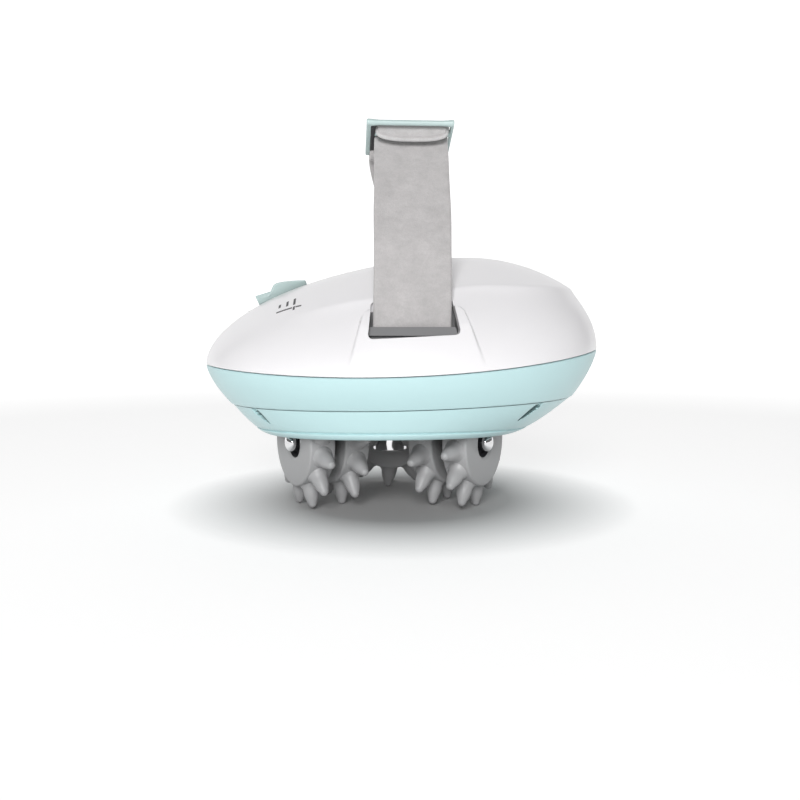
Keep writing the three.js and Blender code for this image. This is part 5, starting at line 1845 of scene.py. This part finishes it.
@dataclass
class Rotor:
    """The turning hub with its three axles, each with two wheels on it."""

    middle_x: float = -5.0
    hub_z: float = 25.0
    disc_z: float = 50.7
    spindle_radius: float = 6.7
    spindle_foot: float = 19.3
    shaft_radius: float = 3.0
    shaft_top: float = 71.9
    socket_radius: float = 2.5
    socket_floor: float = 3.8
    inner_face: float = 17.6
    outer_face: float = 31.6
    arm_place: float = 27.95
    arm_thick: float = 3.3
    arm_edge: float = 0.3
    arm_foot: float = 5.6
    arm_top: float = 15.0
    arm_tenon: float = 9.0
    tenon_height: float = 2.7
    axle_radius: float = 2.2
    axle_start: float = 4.2
    head_radius: float = 3.35
    head_start: float = 38.45
    dome_span: tuple[float, float] = (42.6, 44.3)
    spacer_span: tuple[float, float] = (7.05, 17.25)
    spacer_radius: float = 3.9
    spacer_bore: float = 2.55
    rib_first: float = 1.6
    rib_pitch: float = 2.0
    rib_depth: float = 0.35
    angles: tuple = (("left", -154.0, (-14.0, 6.0)), ("right", -34.0, (6.0, 15.0)),
                     ("rear", 86.0, (0.0, 3.0)))

    def build(self) -> list[bpy.types.Object]:
        """Makes the wheels and the hub's metal pieces.

        Returns:
            The dressed pieces.
        """
        made = [self._spindle()]
        pattern = RollerWheel().build()
        for side, angle, phases in self.angles:
            place = self._place(angle)
            for which, inner, phase in zip(("outer", "inner"), (self.outer_face, self.inner_face), phases):
                along = place @ Matrix.Translation((inner, 0, 0))
                made.append(self._wheel(pattern, side, which, along, phase))
            made += [self._axle(side, place), self._spacer(side, place), self._arm(side, place)]
        bpy.data.objects.remove(pattern)
        return made

    def _wheel(self, pattern: bpy.types.Object, side: str, which: str, place: Matrix,
               phase: float) -> bpy.types.Object:
        """Makes one wheel as a turned copy of the pattern.

        Args:
            pattern: the wheel to copy.
            side: left, right or rear.
            which: outer or inner.
            place: where its inner face goes.
            phase: how far its fingers are turned, in degrees.

        Returns:
            The dressed wheel.
        """
        wheel = bpy.data.objects.new(f"{side}_{which}_fingers", pattern.data.copy())
        bpy.context.scene.collection.objects.link(wheel)
        Maker.moved(wheel, place @ Matrix.Rotation(math.radians(phase), 4, "X"))
        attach(wheel, f"{side}_{which}_roller")
        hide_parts(f"{side}_{which}_wheel")
        LOG.info("%s rides on %s_%s_roller", wheel.name, side, which)
        return wheel

    def _place(self, angle: float) -> Matrix:
        """The place of an axle, with X along it."""
        turn = Matrix.Rotation(math.radians(angle), 4, "Z")
        return Matrix.Translation((self.middle_x, 0, self.hub_z)) @ turn

    def _spindle(self) -> bpy.types.Object:
        """Makes the chrome spindle with its shaft and the three sockets for the axles.

        Returns:
            The dressed piece.
        """
        low, high, r, shaft = self.spindle_foot, self.disc_z, self.spindle_radius, self.shaft_radius
        profile = [(r - 1.2, low), (r - 0.35, low + 0.12), (r, low + 0.6), (r, high - 0.6),
                   (r - 0.2, high - 0.15), (r - 0.6, high), (shaft + 0.4, high), (shaft, high + 0.3),
                   (shaft, self.shaft_top - 0.5), (shaft - 0.5, self.shaft_top)]
        spindle = Maker.lathe("spindle_post", profile, 96)
        Maker.moved(spindle, Matrix.Translation((self.middle_x, 0, 0)))
        socket = [(self.socket_radius, self.socket_floor), (self.socket_radius, r + 2)]
        sockets = [Maker.moved(Maker.lathe("axle_socket", socket, 32), self._place(angle) @ LYING)
                   for _, angle, _ in self.angles]
        Maker.combined(spindle, [Maker.joined(sockets)], "DIFFERENCE", 32)
        return finished(spindle, "rotor", "chrome", Finish.CHROME, stands_for=["spindle"])

    def _arm(self, side: str, place: Matrix) -> bpy.types.Object:
        """Makes the black arm between two wheels, its edges rounded.

        Args:
            side: left, right or rear.
            place: the place of its axle.

        Returns:
            The dressed piece.
        """
        foot, half, tenon = self.arm_foot, self.arm_top / 2, self.arm_tenon / 2
        top = self.disc_z - self.hub_z
        peak = top + self.tenon_height
        outline = [(foot * math.cos(t), foot * math.sin(t)) for t in np.linspace(np.pi, 2 * np.pi, 33)]
        outline += [(half, top), (tenon, top), (tenon, peak), (-tenon, peak), (-tenon, top), (-half, top)]
        start, stop = self.arm_place, self.arm_place + self.arm_thick
        arm = Maker.prism(f"{side}_arm_bracket", np.array(outline), start, stop, self.arm_edge)
        Maker.moved(arm, ON_SIDE)
        hole = Maker.lathe("arm_hole", [(self.socket_radius, start - 1), (self.socket_radius, stop + 1)], 32)
        Maker.combined(arm, [Maker.moved(hole, LYING)], "DIFFERENCE", 32)
        Maker.moved(arm, place)
        return finished(arm, "rotor", "black_plastic", Finish.BLACK_PLASTIC,
                        stands_for=[f"{side}_roller_arm"])

    def _axle(self, side: str, place: Matrix) -> bpy.types.Object:
        """Makes a chrome axle with its domed head.

        Args:
            side: left, right or rear.
            place: the place of the axle.

        Returns:
            The dressed piece.
        """
        pin, start, head, face = self.axle_radius, self.axle_start, self.head_radius, self.head_start
        low, high = self.dome_span
        profile = [(pin - 0.2, start), (pin, start + 0.3), (pin, face), (head - 0.3, face),
                   (head, face + 0.3), (head, low)]
        profile += [(head * math.cos(t), low + (high - low) * math.sin(t))
                    for t in np.linspace(0.15, np.pi / 2 - 0.1, 9)]
        axle = Maker.moved(Maker.lathe(f"{side}_axle_pin", profile, 56), place @ LYING)
        return finished(axle, "rotor", "chrome", Finish.CHROME, stands_for=[f"{side}_axle"])

    def _spacer(self, side: str, place: Matrix) -> bpy.types.Object:
        """Makes the ribbed spacer between spindle and inner wheel.

        Args:
            side: left, right or rear.
            place: the place of its axle.

        Returns:
            The dressed piece.
        """
        (low, high), radius, bore = self.spacer_span, self.spacer_radius, self.spacer_bore
        waist = radius - self.rib_depth
        profile = [(bore, low + 0.2), (radius - 0.3, low), (radius, low + 0.3)]
        for k in range(4):
            at = low + self.rib_first + k * self.rib_pitch
            profile += [(radius, at), (waist, at + 0.25), (waist, at + 0.75), (radius, at + 1.0)]
        profile += [(radius, high - 0.3), (radius - 0.3, high), (bore, high - 0.2)]
        spacer = Maker.moved(Maker.lathe(f"{side}_spacer_sleeve", profile, 48, True), place @ LYING)
        return finished(spacer, "rotor", "wheel_grey", Finish.WHEEL_GREY, stands_for=[f"{side}_axle_spacer"])


@dataclass
class Inside:
    """The nodes that stay as the CAD has them, each with its finish."""

    finishes: tuple = (
        (Finish.BOARD, ("circuit_board",)),
        (Finish.BLACK_PLASTIC, ("chassis_plate", "gear_bridge", "rotor_disc", "switch_track", "switch_body")),
        (Finish.MOTOR_CAN, ("motor",)),
        (Finish.BRASS, ("motor_pinion", "lower_bush", "upper_bush")),
        (Finish.NYLON, ("idler_gear", "output_gear")),
        (Finish.STEEL, ("idler_pin", "front_strap_pin", "rear_strap_pin")))
    screw_sets: tuple[str, ...] = ("shell", "chassis", "bridge")
    screws_each: int = 4

    def dress(self) -> None:
        """Puts each finish on its node."""
        screws = [f"{kind}_screw_{index + 1}"
                  for kind in self.screw_sets for index in range(self.screws_each)]
        for finish, nodes in (*self.finishes, (Finish.STEEL, screws)):
            for node in nodes:
                data = bpy.data.objects[node].data
                data.materials.clear()
                data.materials.append(PALETTE(finish))
                LOG.info("%s is dressed", node)


@dataclass
class Studio:
    """The pale floor, the soft lights and the camera of the photograph."""

    camera_place: tuple[float, float, float] = (-0.0233, -0.3332, 0.069)
    yaw_deg: float = -4.0
    pitch_deg: float = -5.14
    lens_mm: float = 38.0
    shift: tuple[float, float] = (-0.003, 0.0)
    floor_half: float = 3.0
    floor_back: float = 1.4
    floor_curve: float = 1.2
    floor_top: float = 4.0
    floor_tones: tuple[float, float] = (0.42, 0.40)
    far_start: float = 0.4
    far_gain: float = 1.6
    # The floor's glow is painted light; it is missing near the object, which leaves a painted shadow there.
    glow: float = 1.0
    painted_shadow_radius: float = 0.042
    painted_shadow_fade: float = 0.05
    near_share: float = 0.66
    surround: float = 0.15

    def build(self) -> None:
        """Makes everything round the object, shown in plain tones; the floor's glow is painted light round a
        painted shadow.
        """
        self._camera()
        self._floor()
        self._world()
        self._lights()
        bpy.context.scene.view_settings.view_transform = "Standard"

    def _camera(self) -> None:
        """Places the camera."""
        data = bpy.data.cameras.new("photo_camera")
        data.lens = self.lens_mm
        data.sensor_width = 36
        data.shift_x, data.shift_y = self.shift
        data.clip_start = 0.01
        camera = bpy.data.objects.new("photo_camera", data)
        camera.location = self.camera_place
        camera.rotation_euler = (math.radians(90 + self.pitch_deg), 0, math.radians(self.yaw_deg))
        bpy.context.scene.collection.objects.link(camera)
        bpy.context.scene.camera = camera

    def _floor(self) -> None:
        """Lays a pale floor that curves up far behind the object and glows as painted light, except round the
        object, where it stays dark as a painted shadow.
        """
        half, back, rise = self.floor_half, self.floor_back, self.floor_curve
        turn = np.linspace(0, np.pi / 2, 14)
        profile = [(-half, 0.0)] + [(back + rise * math.sin(t), rise - rise * math.cos(t)) for t in turn]
        profile.append((back + rise, self.floor_top))
        points = [(x, y, z) for y, z in profile for x in (-half, half)]
        faces = [(2 * i, 2 * i + 1, 2 * i + 3, 2 * i + 2) for i in range(len(profile) - 1)]
        data = bpy.data.meshes.new("studio_sweep")
        data.from_pydata(points, [], faces)
        data.shade_smooth()
        floor = bpy.data.objects.new("studio_sweep", data)
        bpy.context.scene.collection.objects.link(floor)
        graph = Graph("studio paper with painted glow and shadow")
        light, dark = self.floor_tones
        tone = graph.mixed(graph.noise(60, 2) * 0.3, (light, light, light), (dark, dark, dark))
        away = graph.add("ShaderNodeVectorMath", {"operation": "LENGTH"}, {0: graph.place()}, "Value")
        # Painted shadow: the glow starts only some way from the object and fades in.
        near = ((away - self.painted_shadow_radius) * (1 / self.painted_shadow_fade)).clipped()
        far = ((away - self.far_start) * self.far_gain).clipped()
        painted_glow_share = near * self.near_share + far * (1 - self.near_share)
        values = {"Base Color": tone, "Roughness": 0.9, "Emission Strength": self.glow,
                  "Emission Color": graph.mixed(painted_glow_share, (0.0, 0.0, 0.0), (1.0, 1.0, 1.0))}
        floor.data.materials.append(graph.finish(values))

    def _world(self) -> None:
        """Fills the surroundings with soft white light."""
        world = bpy.data.worlds.new("soft_surroundings")
        world.use_nodes = True
        back = world.node_tree.nodes["Background"]
        back.inputs["Color"].default_value = (1, 1, 1, 1)
        back.inputs["Strength"].default_value = self.surround
        bpy.context.scene.world = world

    def _lights(self) -> None:
        """Hangs the large soft lights."""
        self._panel("key_panel", (-0.17, -0.99, 0.45), (0, 0, 0.06), 0.45, 9.4)
        self._panel("top_panel", (-0.1, 0.15, 1.1), (0, 0, 0.05), 0.9, 0.35)

    @staticmethod
    def _panel(name: str, place: Sequence[float], aim: Sequence[float], size: float, power: float) -> None:
        """Hangs one square light, turned to a point.

        Args:
            name: the light's name.
            place: where it hangs, in metres.
            aim: the point that it faces.
            size: its side, in metres.
            power: its power, in watts.
        """
        data = bpy.data.lights.new(name, "AREA")
        data.size = size
        data.energy = power
        lamp = bpy.data.objects.new(name, data)
        lamp.location = place
        lamp.rotation_euler = (Vector(aim) - Vector(place)).to_track_quat("-Z", "Y").to_euler()
        bpy.context.scene.collection.objects.link(lamp)


def main() -> None:
    form = BodyForm()
    Studio().build()
    upper = UpperShell(form)
    for part in (upper, LowerShell(form), BaseRing(form), HandStrap(form), Controls(upper), Rotor()):
        part.build()
    Inside().dress()


if __name__ == "__main__":
    logging.basicConfig(level=logging.INFO, format="%(message)s")
    main()
